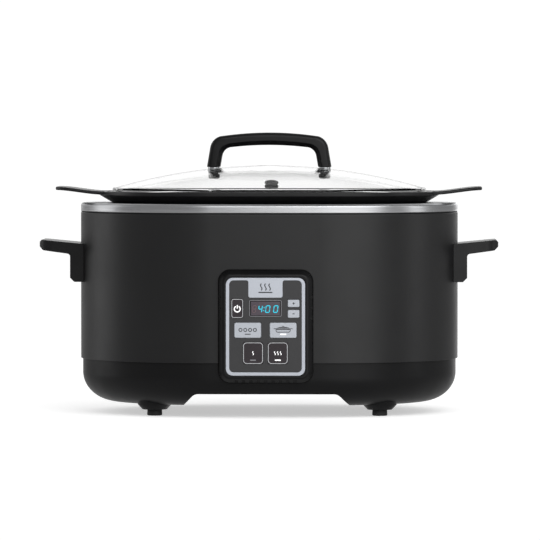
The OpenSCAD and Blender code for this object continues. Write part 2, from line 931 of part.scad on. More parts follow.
// Helical spring between the guide's floor and the sensor's cap
module sensor_spring() {
    steps = 16;
    sides = 8;
    low = guide_z + guide_floor + spring_wire_r;
    high = sensor_top_z - sensor_cap_t - spring_wire_r;
    rings = spring_turns * steps;
    points = [
        for (i = [0:rings], j = [0:sides - 1])
            let (
                turn = 360 * i / steps,
                around = 360 * j / sides,
                r = spring_at_r + spring_wire_r * cos(around),
                z = low + (high - low) * i / rings + spring_wire_r * sin(around)
            )
                [r * cos(turn), r * sin(turn), z]
    ];
    sleeves = [
        for (i = [0:rings - 1], j = [0:sides - 1])
            let (k = (j + 1) % sides)
                [(i + 1) * sides + j, (i + 1) * sides + k, i * sides + k, i * sides + j]
    ];
    ends = [
        [for (j = [0:sides - 1]) j],
        [for (j = [sides - 1:-1:0]) rings * sides + j]
    ];
    color("#9a9c9e")
        polyhedron(points = points, faces = concat(sleeves, ends));
}

module thermal_cutoff() {
    tab = [0.8, 6, 6.5];
    tab_x = 4;
    color("#c9b27a")
        translate([-cutoff_x, 0, plate_z - cutoff_h]) {
            cylinder(r = cutoff_r, h = cutoff_h);
            for (x = [-tab_x, tab_x])
                translate([x - tab.x / 2, -tab.y / 2, pilot_gap - tab.z])
                    cube(tab);
        }
}

// ---------------------------------------------------------------- power board

// Places a part at each corner hole of the power board
module at_board_holes() {
    for (x = [-1, 1], y = [-1, 1])
        translate([x * (board_w / 2 - board_hole_inset), board_y + y * (board_d / 2 - board_hole_inset), 0])
            children();
}

module power_board() {
    color("#7a5a2b")
        difference() {
            translate([-board_w / 2, board_y - board_d / 2, board_z])
                cube([board_w, board_d, board_t]);
            at_board_holes()
                translate([0, 0, board_z - over])
                    cylinder(r = small_screw_r + slide_gap, h = board_t + 2 * over);
        }
}

module power_board_screws() {
    color("#8d8f92")
        at_board_holes()
            translate([0, 0, board_top_z])
                mirror([0, 0, 1])
                    screw_up(small_screw_r, small_screw_len, small_head_r, small_head_h);
}

module power_relay() {
    body = [20, 29, 15];
    color("#2b4f8f")
        translate([26, board_y - 26, board_top_z])
            cube(body);
}

// Core block with a wider winding around its middle
module power_transformer() {
    core = [36, 28, 24];
    winding = [26, 38, 16];
    color("#c8b23a")
        translate([-34, board_y - 8, board_top_z + core.z / 2]) {
            cube(core, center = true);
            cube(winding, center = true);
        }
}

module power_capacitors() {
    can_r = 5;
    can_h = 18;
    color("#2a2c30")
        for (x = [-46, 6, 22])
            translate([x, board_y + 26, board_top_z])
                cylinder(r = can_r, h = can_h);
}

// Two wires from the element's terminals down to the power board
module heater_leads() {
    wire_r = 1.5;
    knuckle_r = 1.75;
    bend_z = board_top_z + 16;
    drop = terminal_z - 6 - bend_z;
    color("#b0402c")
        for (side = [-1, 1])
            translate([side * terminal_x, element_at_r, 0]) {
                translate([0, 0, bend_z])
                    cylinder(r = wire_r, h = terminal_z - bend_z);
                translate([0, 0, bend_z])
                    sphere(r = knuckle_r);
                translate([0, 0, bend_z])
                    rotate([90, 0, 0])
                        cylinder(r = wire_r, h = drop / 2);
                translate([0, -drop / 2, bend_z])
                    sphere(r = knuckle_r);
                translate([0, -drop / 2, board_top_z])
                    cylinder(r = wire_r, h = bend_z - board_top_z);
            }
}

module cord_gland() {
    inner = -base_wall - seat_gap;
    lock_r = gland_neck_r + 1.4;
    lock_t = 3;
    throat_r = gland_neck_r - seat_gap;
    flange_t = 2.4;
    cone_r = gland_neck_r + 0.8;
    color("#161616")
        translate([gland_x, base_r, gland_z])
            rotate([-90, 0, 0])
                rotate_extrude()
                    polygon([
                        [gland_bore_r, inner - lock_t], [lock_r, inner - lock_t], [lock_r, inner],
                        [throat_r, inner], [throat_r, seat_gap],
                        [gland_flange_r, seat_gap], [gland_flange_r, seat_gap + flange_t],
                        [cone_r, seat_gap + flange_t + 0.8],
                        [gland_neck_r, gland_out], [gland_bore_r, gland_out]
                    ]);
}

// ---------------------------------------------------------------- pot

// Plan outline of a pot tab at the right-hand end
module tab_plan() {
    root_x = straight_half + pot_r;
    tip_x = straight_half + lip_r + tab_reach;
    corner = 16;
    polygon(concat(
        [[root_x, -tab_w / 2]],
        arc([tip_x - corner, corner - tab_w / 2], corner, -90, 0, 7),
        arc([tip_x - corner, tab_w / 2 - corner], corner, 0, 90, 7),
        [[root_x, tab_w / 2]]
    ));
}

// A tab as wide as a hand, which rises gently from the lip to its tip
module pot_tab() {
    root_x = straight_half + lip_r - 6;
    tip_x = straight_half + lip_r + tab_reach;
    steps = 12;
    low = lip_z - tab_t;
    line = [
        for (i = [0:steps])
            let (part = i / steps)
                [root_x + (tip_x - root_x) * part, low + tab_rise * part * part * (3 - 2 * part)]
    ];
    intersection() {
        along_y(-tab_w, tab_w)
            polygon(concat(line, [for (i = [steps:-1:0]) line[i] + [0, tab_t]]));
        translate([0, 0, low - over])
            linear_extrude(2 * lip_rise)
                tab_plan();
    }
}

module cooking_pot() {
    foot = pot_r - pot_taper;
    flare_r = pot_r + 1.5;
    flare_z = rim_z - 0.4;
    wall_z = rim_z - 3;
    inner_r = pot_r - pot_wall;
    ledge_in_r = inner_r + ledge_edge;
    ledge_out_r = ledge_in_r + ledge_w;
    lip_edge = 0.8;
    lip_flat = 3;
    bowl_corner = pot_corner - pot_wall;
    color("#1b1b1c") {
        oval_ring()
            polygon(concat(
                [[0, pot_z]],
                arc([foot - pot_corner, pot_z + pot_corner], pot_corner, -90, 0, 8),
                [
                    [pot_r, wall_z], [flare_r, flare_z], [lip_r, lip_z - lip_t],
                    [lip_r, lip_z - lip_edge], [lip_r - lip_edge, lip_z], [lip_r - lip_flat, lip_z],
                    [ledge_out_r, ledge_z], [ledge_in_r, ledge_z],
                    [inner_r, ledge_z - ledge_edge], [inner_r, wall_z]
                ],
                arc([foot - pot_corner, pot_z + pot_floor + bowl_corner], bowl_corner, 0, -90, 8),
                [[0, pot_z + pot_floor]]
            ));
        for (side = [0, 1])
            mirror([side, 0, 0])
                pot_tab();
    }
}

// ---------------------------------------------------------------- lid

// Solid oval dome from a list of [part of the way out, height] pairs that starts and ends at the middle
module oval_dome(section) {
    sides = 56;
    last = len(section) - 1;
    points = concat(
        [[0, 0, section[0][1]]],
        [
            for (k = [1:last - 1], i = [0:sides - 1])
                let (
                    right = i < sides / 2,
                    step = right ? i : i - sides / 2,
                    angle = (right ? -90 : 90) + 180 * step / (sides / 2 - 1),
                    part = section[k][0]
                )
                    [
                        part * ((right ? straight_half : -straight_half) + lid_r * cos(angle)),
                        part * lid_r * sin(angle),
                        section[k][1]
                    ]
        ],
        [[0, 0, section[last][1]]]
    );
    end = len(points) - 1;
    polyhedron(points = points, faces = concat(
        [for (i = [0:sides - 1]) [0, 1 + (i + 1) % sides, 1 + i]],
        [
            for (k = [0:last - 3], i = [0:sides - 1])
                let (a = 1 + k * sides, b = a + sides, j = (i + 1) % sides)
                    [a + i, a + j, b + j, b + i]
        ],
        [for (i = [0:sides - 1]) let (a = 1 + (last - 2) * sides) [end, a + i, a + (i + 1) % sides]]
    ));
}

// Space under the glass's top face, for trimming what sits on the dome
module under_dome() {
    rings = 10;
    oval_dome(concat(
        [for (k = [0:rings]) [k / rings, dome_z(k / rings)]],
        [[1, ledge_z], [0, ledge_z]]
    ));
}

// Places a part at each leg of the lid handle
module at_legs() {
    for (side = [0, 1])
        mirror([side, 0, 0])
            translate([leg_x, 0, 0])
                children();
}

// Places a part square to the glass at the steam vent
module at_vent() {
    translate([0, vent_y, dome_z(vent_at)])
        rotate([-vent_tilt, 0, 0])
            children();
}

module lid_glass() {
    rings = 10;
    color([0.75, 0.8, 0.82, 0.4])
        difference() {
            oval_dome(concat(
                [for (k = [0:rings]) [k / rings, dome_z(k / rings)]],
                [[1, ledge_z], [lid_bead, ledge_z]],
                [for (k = [rings:-1:0]) [lid_bead * k / rings, dome_z(lid_bead * k / rings) - glass_t]]
            ));
            at_legs()
                translate([0, 0, ledge_z])
                    cylinder(r = bushing_r + seat_gap, h = 2 * dome_rise);
            at_vent()
                translate([0, 0, -3 * glass_t])
                    cylinder(r = vent_neck_r + slide_gap, h = 6 * glass_t);
        }
}

// Height of the grip's arched top edge, at a distance across from its middle
function grip_line(x) = grip_z - grip_sag * pow(x / (leg_x - 8.7), 2);

module lid_handle() {
    outer_spread = 3.1;
    inner_spread = 1.8;
    inner_r = grip_corner - 4;
    corner_x = leg_x + leg_w / 2 - outer_spread - grip_corner;
    corner_z = grip_line(corner_x) - grip_corner;
    inner_x = leg_x - leg_w / 2 - inner_spread - inner_r;
    inner_z = grip_line(inner_x) - grip_t - inner_r;
    half_w = grip_w / 2;
    shoulder_z = grip_z - grip_chamfer;
    steps = 8;
    half = concat(
        [for (i = [0:steps]) let (x = corner_x * i / steps) [x, grip_line(x)]],
        arc([corner_x, corner_z], grip_corner, 82, 9, 8),
        [[leg_x + leg_w / 2, leg_z], [leg_x - leg_w / 2, leg_z]],
        arc([inner_x, inner_z], inner_r, 8, 88, 7),
        [for (i = [steps:-1:0]) let (x = inner_x * i / steps) [x, grip_line(x) - grip_t]]
    );
    color("#1d1e20")
        difference() {
            intersection() {
                for (side = [0, 1])
                    mirror([side, 0, 0])
                        along_y(-half_w, half_w)
                            polygon(half);
                translate([-2 * leg_x, 0, 0])
                    rotate([90, 0, 90])
                        linear_extrude(4 * leg_x)
                            polygon([
                                [-half_w, leg_z - over], [half_w, leg_z - over],
                                [half_w, shoulder_z], [half_w - grip_chamfer, grip_z],
                                [grip_chamfer - half_w, grip_z], [-half_w, shoulder_z]
                            ]);
            }
            at_legs()
                translate([0, 0, leg_z - over])
                    cylinder(r = lid_screw_r + pilot_gap, h = lid_screw_grip + over);
        }
}

module lid_handle_washers() {
    color("#c9cbcd")
        difference() {
            at_legs()
                difference() {
                    translate([0, 0, leg_z - 2 * washer_t])
                        cylinder(r = washer_r, h = 2 * washer_t);
                    translate([0, 0, leg_z - 3 * washer_t])
                        cylinder(r = lid_screw_r + slide_gap, h = 4 * washer_t);
                }
            under_dome();
        }
}

module lid_handle_bosses() {
    top_z = dome_z((leg_x + lid_boss_r) / lid_half_x) - glass_t - 0.2;
    bushing_z = dome_z((leg_x + bushing_r) / lid_half_x) - seat_gap;
    color("#151515")
        at_legs()
            difference() {
                union() {
                    translate([0, 0, lid_boss_z])
                        cylinder(r = lid_boss_r, h = top_z - lid_boss_z);
                    translate([0, 0, lid_boss_z])
                        cylinder(r = bushing_r, h = bushing_z - lid_boss_z);
                }
                translate([0, 0, lid_boss_z - over])
                    cylinder(r = lid_screw_r + slide_gap, h = dome_rise);
                translate([0, 0, lid_boss_z - over])
                    cylinder(r = lid_head_r + slide_gap, h = lid_seat_z - lid_boss_z + over);
            }
}

module lid_handle_screws() {
    tip_z = leg_z + lid_screw_grip - 1;
    color("#b9bbbd")
        at_legs()
            translate([0, 0, lid_seat_z])
                screw_up(lid_screw_r, tip_z - lid_seat_z, lid_head_r, lid_head_h);
}

module vent_grommet() {
    edge = 1;
    above = 0.15;
    below = -glass_t - 0.25;
    top = above + vent_flange_t;
    bottom = below - vent_flange_t;
    color("#141414")
        at_vent()
            rotate_extrude()
                polygon([
                    [vent_r, bottom], [vent_flange_r - edge, bottom],
                    [vent_flange_r, bottom + edge], [vent_flange_r, below], [vent_neck_r, below],
                    [vent_neck_r, above], [vent_flange_r, above], [vent_flange_r, top - edge],
                    [vent_flange_r - edge, top], [vent_r, top]
                ]);
}

outer_shell();
rim_collar();
shell_seal();
heating_well();
base_housing();
tie_posts();
base_screws();
foot_front_left();
foot_front_right();
foot_rear_left();
foot_rear_right();
left_handle();
right_handle();
handle_screws();
handle_backing_plates();
panel_bezel();
panel_trim();
panel_plate();
display_lens();
display_module();
power_key();
plus_key();
minus_key();
stove_key();
slow_cook_key();
low_key();
high_key();
tact_switches();
control_board();
control_board_screws();
ribbon_cable();
heating_plate();
heating_element();
element_terminals();
heat_reflector();
insulation_blanket();
sensor_guide();
sensor_spring();
temperature_sensor();
thermal_cutoff();
power_board();
power_relay();
power_transformer();
power_capacitors();
power_board_screws();
heater_leads();
cord_gland();
cooking_pot();
lid_glass();
lid_handle();
lid_handle_washers();
lid_handle_bosses();
lid_handle_screws();
vent_grommet();
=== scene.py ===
import json
import math

import bmesh
import bpy
from mathutils import Matrix, Vector, geometry


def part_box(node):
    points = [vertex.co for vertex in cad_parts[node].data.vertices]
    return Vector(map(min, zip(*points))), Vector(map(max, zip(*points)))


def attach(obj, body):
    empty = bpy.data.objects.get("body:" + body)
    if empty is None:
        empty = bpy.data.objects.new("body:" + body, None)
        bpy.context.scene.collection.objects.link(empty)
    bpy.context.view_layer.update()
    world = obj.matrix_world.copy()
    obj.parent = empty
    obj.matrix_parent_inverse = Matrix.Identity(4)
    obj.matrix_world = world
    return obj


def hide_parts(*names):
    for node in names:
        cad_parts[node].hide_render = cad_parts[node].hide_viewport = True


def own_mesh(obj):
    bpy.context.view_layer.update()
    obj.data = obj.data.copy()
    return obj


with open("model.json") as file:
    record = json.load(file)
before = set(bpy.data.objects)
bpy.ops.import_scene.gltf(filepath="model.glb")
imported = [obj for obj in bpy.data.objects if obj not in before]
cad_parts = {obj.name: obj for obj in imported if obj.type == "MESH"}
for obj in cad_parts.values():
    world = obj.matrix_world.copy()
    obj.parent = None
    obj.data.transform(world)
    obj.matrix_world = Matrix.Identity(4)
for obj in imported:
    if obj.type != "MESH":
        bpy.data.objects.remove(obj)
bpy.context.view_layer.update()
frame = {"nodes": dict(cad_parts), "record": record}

# An oval slow cooker. Everything is in metres, +Z up, front towards -Y. Places come from the frame's boxes.

MM = 0.001
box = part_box


def mm(*values):
    """Millimetres as metres."""
    return [value * MM for value in values]


# ---------------------------------------------------------------- sizes taken from the frame

SHELL_LOW, SHELL_HIGH = box("outer_shell")
SHELL_R = SHELL_HIGH.y
HALF = SHELL_HIGH.x - SHELL_R
SHEET = 1 * MM

ARC = 72
TURN = 64


# ---------------------------------------------------------------- outlines

def rounded(corners, radii, inset=0.0, closed=True, steps=6):
    """Points of an outline with rounded corners, listed anticlockwise, offset inwards by inset."""
    points = []
    count = len(corners)
    for i, corner in enumerate(corners):
        at = Vector(corner)
        if not closed and i in (0, count - 1):
            points.append(at)
            continue
        radius = radii[i] if hasattr(radii, "__len__") else radii
        before = (at - Vector(corners[i - 1])).normalized()
        after = (Vector(corners[(i + 1) % count]) - at).normalized()
        inward = Vector((-before.y, before.x))
        inward_after = Vector((-after.y, after.x))
        at += (inward + inward_after) * (inset / (1 + inward.dot(inward_after)))
        if radius == 0:
            points.append(at)
            continue
        turn = math.atan2(before.x * after.y - before.y * after.x, before.dot(after))
        side = 1 if turn > 0 else -1
        radius = max(radius - side * inset, 0.02 * MM)
        start = at - before * radius * math.tan(abs(turn) / 2)
        centre = start + inward * side * radius
        arm = start - centre
        for k in range(steps + 1):
            a = turn * k / steps
            c, s = math.cos(a), math.sin(a)
            points.append(centre + Vector((arm.x * c - arm.y * s, arm.x * s + arm.y * c)))
    return points


def rectangle(w, h, x=0.0, z=0.0):
    """Corners of a rectangle around (x, z)."""
    return [(x - w / 2, z - h / 2), (x + w / 2, z - h / 2), (x + w / 2, z + h / 2), (x - w / 2, z + h / 2)]


def stadium(r, z, scale=1.0):
    """One loop around the oval, at a radius and a height."""
    points = []
    for side in (1, -1):
        for i in range(ARC + 1):
            a = math.radians(180 * i / ARC - 90)
            x, y = HALF + r * math.cos(a), r * math.sin(a)
            points.append(Vector((side * x * scale, side * y * scale, z)))
    return points


def circle(r, z, sides=TURN):
    """One loop around the Z axis."""
    return [
        Vector((r * math.cos(math.tau * i / sides), r * math.sin(math.tau * i / sides), z))
        for i in range(sides)
    ]


def upright(outline, y):
    """An outline drawn across and up, stood up at a depth y."""
    return [Vector((p[0], y, p[1])) for p in outline]


# ---------------------------------------------------------------- meshes

def shade(piece, angle=38):
    """Smooth faces, with an edge kept wherever two faces meet at more than angle."""
    piece.data.shade_smooth()
    piece.data.set_sharp_from_angle(angle=math.radians(angle))
    return piece


def mesh_piece(name, points, faces, angle=38):
    mesh = bpy.data.meshes.new(name)
    mesh.from_pydata([tuple(p) for p in points], [], faces)
    piece = bpy.data.objects.new(name, mesh)
    bpy.context.scene.collection.objects.link(piece)
    work = bmesh.new()
    work.from_mesh(mesh)
    bmesh.ops.remove_doubles(work, verts=work.verts, dist=1e-7)
    bmesh.ops.recalc_face_normals(work, faces=work.faces)
    work.to_mesh(mesh)
    work.free()
    return shade(piece, angle)


def loft(name, loops, ring=False, angle=38):
    """Skins matched loops. A ring joins its last loop to its first; otherwise each end gets a flat face."""
    count = len(loops[0])
    points = [p for one in loops for p in one]
    faces = []
    for k in range(len(loops) if ring else len(loops) - 1):
        a, b = k * count, (k + 1) % len(loops) * count
        faces += [(a + i, a + (i + 1) % count, b + (i + 1) % count, b + i) for i in range(count)]
    if not ring:
        faces += [tuple(range(count)), tuple(range(len(points) - count, len(points)))]
    return mesh_piece(name, points, faces, angle)


def oval(name, section, ring=False, angle=38):
    """Turns (radius, height) points around the oval."""
    return loft(name, [stadium(r, z) for r, z in section], ring, angle)


def turned(name, section, place=None, ring=False, angle=38, sides=TURN):
    """Turns (radius, height) points around the Z axis and puts them in place."""
    piece = loft(name, [circle(r, z, sides) for r, z in section], ring, angle)
    if place is not None:
        piece.data.transform(place)
    return piece


def slab(name, outline, layers, angle=38):
    """Stacks outline(inset) at depths along Y. layers holds (inset, y) from one face to the other."""
    return loft(name, [upright(outline(inset), y) for inset, y in layers], False, angle)


def prism(name, outline, low, high, axis="Y"):
    """Straight solid with that outline, along Y or along Z."""
    if axis == "Y":
        return loft(name, [upright(outline, low), upright(outline, high)])
    return loft(name, [[Vector((p[0], p[1], z)) for p in outline] for z in (low, high)])


def settle(piece):
    """Makes a piece's modifiers part of its mesh."""
    graph = bpy.context.evaluated_depsgraph_get()
    made = bpy.data.meshes.new_from_object(piece.evaluated_get(graph))
    piece.modifiers.clear()
    piece.data = made
    return piece


def combine(piece, others, operation="DIFFERENCE", angle=38):
    """Cuts other solids out of a piece, or joins them to it, and deletes them."""
    for other in others:
        step = piece.modifiers.new("combine", "BOOLEAN")
        step.operation = operation
        step.solver = "EXACT"
        step.object = other
        settle(piece)
        bpy.data.objects.remove(other)
    return shade(piece, angle)


def soften(piece, width, segments=3, limit=40, angle=38):
    """Rounds the edges that are sharper than limit."""
    step = piece.modifiers.new("soften", "BEVEL")
    step.width = width
    step.segments = segments
    step.limit_method = "ANGLE"
    step.angle_limit = math.radians(limit)
    step.miter_outer = "MITER_ARC"
    settle(piece)
    shade(piece, angle)
    return weight_normals(piece)


def weight_normals(piece):
    """Keeps large flat faces flat where rounded edges meet them."""
    step = piece.modifiers.new("normals", "WEIGHTED_NORMAL")
    step.keep_sharp = True
    step.weight = 80
    return piece


def join(name, pieces):
    """Makes one piece of several separate solids."""
    work = bmesh.new()
    for piece in pieces:
        settle(piece)
        work.from_mesh(piece.data)
        bpy.data.objects.remove(piece)
    mesh = bpy.data.meshes.new(name)
    work.to_mesh(mesh)
    work.free()
    piece = bpy.data.objects.new(name, mesh)
    bpy.context.scene.collection.objects.link(piece)
    return shade(piece)


def mirrored(piece, name):
    """A mirror copy across X."""
    mesh = piece.data.copy()
    mesh.transform(Matrix.Diagonal((-1, 1, 1, 1)))
    mesh.flip_normals()
    copy = bpy.data.objects.new(name, mesh)
    bpy.context.scene.collection.objects.link(copy)
    return shade(copy)


# ---------------------------------------------------------------- materials

def srgb(*levels):
    """Linear colour of 0 to 255 screen levels."""
    levels = levels if len(levels) == 3 else levels * 3
    linear = [(v / 255 / 12.92) if v <= 10 else ((v / 255 + 0.055) / 1.055) ** 2.4 for v in levels]
    return (*linear, 1.0)


class Look:
    """A procedural material: one Principled shader and the patterns that vary it."""

    def __init__(self, name, colour, roughness, metallic=0.0, **inputs):
        self.material = bpy.data.materials.new(name)
        self.material.use_nodes = True
        self.nodes = self.material.node_tree.nodes
        self.links = self.material.node_tree.links
        self.shader = self.nodes["Principled BSDF"]
        self.colour, self.roughness = colour, roughness
        self.set("Base Color", colour)
        self.set("Roughness", roughness)
        self.set("Metallic", metallic)
        for key, value in inputs.items():
            self.set(key.replace("_", " "), value)
        self.place = self.nodes.new("ShaderNodeTexCoord").outputs["Object"]
        self.normal = None

    def set(self, socket, value):
        self.shader.inputs[socket].default_value = value

    def add(self, kind, **settings):
        node = self.nodes.new(kind)
        for key, value in settings.items():
            if hasattr(node, key):
                setattr(node, key, value)
            else:
                node.inputs[key.replace("_", " ")].default_value = value
        return node

    def stretched(self, stretch):
        """Object coordinates scaled along each axis."""
        node = self.add("ShaderNodeVectorMath", operation="MULTIPLY")
        self.links.new(self.place, node.inputs[0])
        node.inputs[1].default_value = stretch
        return node.outputs[0]

    def noise(self, scale, detail=3.0, stretch=(1, 1, 1), roughness=0.55):
        """A noise pattern; scale counts its features in a metre."""
        node = self.add("ShaderNodeTexNoise", Scale=scale, Detail=detail, Roughness=roughness)
        self.links.new(self.stretched(stretch), node.inputs["Vector"])
        return node.outputs["Fac"]

    def cells(self, scale):
        node = self.add("ShaderNodeTexVoronoi", Scale=scale, feature="F1")
        self.links.new(self.place, node.inputs["Vector"])
        return node.outputs["Distance"]

    def pattern(self, source):
        """Cells for ("cells", scale), and noise for a scale or for a tuple of noise settings."""
        if not isinstance(source, tuple):
            return self.noise(source)
        return self.cells(source[1]) if source[0] == "cells" else self.noise(*source)

    def ramp(self, source, low, high, start=0.3, end=0.7):
        """Maps a pattern's start to end on low to high."""
        node = self.add("ShaderNodeMapRange", clamp=True)
        node.inputs["From Min"].default_value = start
        node.inputs["From Max"].default_value = end
        node.inputs["To Min"].default_value = low
        node.inputs["To Max"].default_value = high
        self.links.new(self.pattern(source), node.inputs["Value"])
        return node.outputs["Result"]

    def tint(self, source, low, high, start=0.3, end=0.7):
        """Varies the base colour from low to high times itself, while the pattern goes from start to end."""
        factor = self.ramp(source, 0.0, 1.0, start, end)
        mix = self.add("ShaderNodeMix", data_type="RGBA")
        self.links.new(factor, mix.inputs["Factor"])
        for share, index in ((low, 6), (high, 7)):
            mix.inputs[index].default_value = tuple(min(c * share, 1.0) for c in self.colour[:3]) + (1.0,)
        self.links.new(mix.outputs[2], self.shader.inputs["Base Color"])
        return self

    def polish(self, source, spread, start=0.3, end=0.7):
        """Varies the roughness around its value."""
        low, high = self.roughness - spread, self.roughness + spread
        self.links.new(self.ramp(source, low, high, start, end), self.shader.inputs["Roughness"])
        return self

    def bump(self, source, depth, strength):
        """Relief of that depth in millimetres, on top of any before it."""
        node = self.add("ShaderNodeBump", Strength=strength, Distance=depth * MM)
        self.links.new(self.pattern(source), node.inputs["Height"])
        if self.normal is not None:
            self.links.new(self.normal, node.inputs["Normal"])
        self.normal = node.outputs["Normal"]
        self.links.new(self.normal, self.shader.inputs["Normal"])
        return self


def make_looks():
    """One look for each material slot of the record."""
    looks = {}

    def look(slot, colour, roughness, metallic=0.0, **inputs):
        made = Look(slot, colour, roughness, metallic, **inputs)
        looks[slot] = made
        return made

    paint = look("shell_paint", srgb(18, 18, 19), 0.4, Specular_IOR_Level=0.45)
    paint.tint((9, 3), 0.94, 1.06)
    paint.polish((30, 4), 0.03)
    paint.bump((1500, 2), 0.02, 0.5)
    paint.bump((160, 2), 0.03, 0.25)

    steel = look("collar_steel", srgb(200, 201, 203), 0.3, 1.0)
    steel.tint((900, 3, (0.02, 0.02, 1)), 0.9, 1.06)
    steel.polish((700, 3, (0.02, 0.02, 1)), 0.06)
    steel.bump((2500, 2, (0.01, 0.01, 1)), 0.01, 0.4)

    seal = look("seal_rubber", srgb(22), 0.6)
    seal.bump(1200, 0.02, 0.4).tint(60, 0.85, 1.15)

    well = look("well_metal", srgb(178, 180, 182), 0.36, 1.0)
    well.tint((20, 4), 0.88, 1.04).polish((900, 2, (0.05, 0.05, 1)), 0.08)
    well.bump((1400, 2, (0.04, 0.04, 1)), 0.015, 0.4)

    base = look("base_plastic", srgb(12, 12, 13), 0.4, Specular_IOR_Level=0.22)
    base.tint(14, 0.93, 1.07).polish(40, 0.04)
    base.bump((2200, 2), 0.03, 0.5)

    grip = look("handle_plastic", srgb(16, 16, 17), 0.36, Specular_IOR_Level=0.3)
    grip.tint(25, 0.92, 1.08).polish(60, 0.05)
    grip.bump((2400, 2), 0.03, 0.45)

    bezel = look("bezel_plastic", srgb(11, 11, 12), 0.34, Specular_IOR_Level=0.25)
    bezel.tint(30, 0.92, 1.08).polish(80, 0.04)
    bezel.bump((2600, 2), 0.02, 0.35)

    foot = look("foot_rubber", srgb(20), 0.7)
    foot.tint(300, 0.8, 1.2).bump(1600, 0.05, 0.5)

    screw = look("fastener_steel", srgb(170, 172, 175), 0.3, 1.0)
    screw.tint(500, 0.85, 1.05).polish(800, 0.08)
    screw.bump(3000, 0.01, 0.4)

    trim = look("trim_silver", srgb(170, 174, 182), 0.36, 0.1)
    trim.tint((4000, 1), 0.97, 1.03).polish((1800, 2), 0.04)
    trim.bump((3500, 1), 0.006, 0.3)

    plate = look("plate_grey", srgb(54, 54, 55), 0.45, Specular_IOR_Level=0.25)
    plate.tint((5000, 1), 0.95, 1.05).polish(600, 0.04)
    plate.bump((2600, 2), 0.01, 0.4)

    key = look("key_silver", srgb(166, 170, 177), 0.38, 0.1)
    key.tint((4000, 1), 0.97, 1.03).polish((1800, 2), 0.04)
    key.bump((3200, 1), 0.006, 0.3)

    dark = look("key_dark", srgb(46, 41, 44), 0.38, Specular_IOR_Level=0.25)
    dark.tint((70, 2), 0.93, 1.07).polish(900, 0.04)
    dark.bump((2600, 2), 0.008, 0.4)

    lens = look("lens_black", srgb(14, 13, 16), 0.2, Specular_IOR_Level=0.3)
    lens.tint(120, 0.9, 1.1).polish(300, 0.02)

    body = look("display_body", srgb(214, 213, 204), 0.5)
    body.tint(200, 0.95, 1.03).bump(1500, 0.02, 0.3)

    switch = look("switch_body", srgb(70, 72, 76), 0.45)
    switch.tint(("cells", 900), 0.85, 1.1, 0, 1).bump(1800, 0.02, 0.3)

    green = look("board_green", srgb(28, 92, 52), 0.35, Coat_Weight=0.4)
    green.tint((260, 2, (1, 1, 6)), 0.7, 1.15, 0.45, 0.55).bump(("cells", 500), 0.03, 0.3)

    brown = look("board_brown", srgb(142, 104, 58), 0.5)
    brown.tint((900, 4, (1, 0.15, 1)), 0.85, 1.1).bump(1200, 0.02, 0.3)

    ribbon = look("cable_grey", srgb(176, 173, 164), 0.5)
    ribbon.tint((780, 1, (1, 0.001, 0.001)), 0.75, 1.05).bump((780, 1, (1, 0, 0)), 0.2, 0.5)

    cast = look("plate_aluminium", srgb(150, 151, 153), 0.42, 1.0)
    cast.tint((60, 4), 0.85, 1.06).polish((300, 4), 0.08)
    cast.bump((900, 4), 0.04, 0.5)

    element = look("element_steel", srgb(96, 97, 100), 0.5, 0.9)
    element.tint((80, 4), 0.7, 1.15).bump(1500, 0.02, 0.4)

    terminal = look("terminal_steel", srgb(200, 196, 184), 0.32, 1.0)
    terminal.tint(600, 0.85, 1.05).bump(2000, 0.01, 0.3)

    blanket = look("blanket_fibre", srgb(214, 208, 188), 0.95)
    blanket.tint((500, 6), 0.8, 1.08).bump((700, 6, (1, 1, 0.4)), 0.6, 0.8)

    sensor = look("sensor_steel", srgb(196, 198, 200), 0.26, 1.0)
    sensor.tint(400, 0.9, 1.05).polish(1200, 0.06)
    sensor.bump(2500, 0.008, 0.4)

    brass = look("cutoff_brass", srgb(196, 170, 106), 0.35, 1.0)
    brass.tint((300, 4), 0.8, 1.08).bump(1600, 0.02, 0.3)

    relay = look("relay_blue", srgb(44, 82, 150), 0.4)
    relay.tint(150, 0.92, 1.06).bump(1800, 0.02, 0.3)

    tape = look("transformer_tape", srgb(208, 184, 70), 0.45)
    tape.tint((260, 2, (0.2, 0.2, 4)), 0.85, 1.06).bump((300, 1, (0, 0, 3)), 0.1, 0.4)

    sleeve = look("capacitor_sleeve", srgb(40, 44, 58), 0.3)
    sleeve.tint(200, 0.85, 1.1).bump(900, 0.02, 0.3)

    lead = look("lead_silicone", srgb(170, 58, 40), 0.5)
    lead.tint(300, 0.9, 1.08).bump(1400, 0.03, 0.4)

    coating = look("pot_coating", srgb(20, 20, 21), 0.36, Specular_IOR_Level=0.32)
    coating.tint(("cells", 1500), 0.92, 1.12, 0.0, 0.6).polish(60, 0.05)
    coating.bump((1800, 3), 0.02, 0.25)

    glass = look("lid_glass", (1.0, 1.0, 1.0, 1.0), 0.0, IOR=1.1, Transmission_Weight=1.0)
    glass.tint((20, 2), 0.985, 1.0)

    washer = look("washer_steel", srgb(214, 216, 218), 0.18, 1.0)
    washer.tint(600, 0.94, 1.03).bump(2600, 0.005, 0.3)

    silicone = look("silicone_black", srgb(20), 0.42)
    silicone.tint(90, 0.88, 1.12).bump(1800, 0.02, 0.4)
    return looks


LOOKS = make_looks()


def plain_look(name, colour, roughness, metallic=0.0, glow=0.0):
    """A printed mark or a lit sign. A glow given to a printed mark is painted light."""
    made = Look(name, colour, roughness, metallic)
    made.tint((3000, 1), 0.96, 1.03)
    if glow:
        made.set("Emission Color", colour)
        made.set("Emission Strength", glow)
    return made


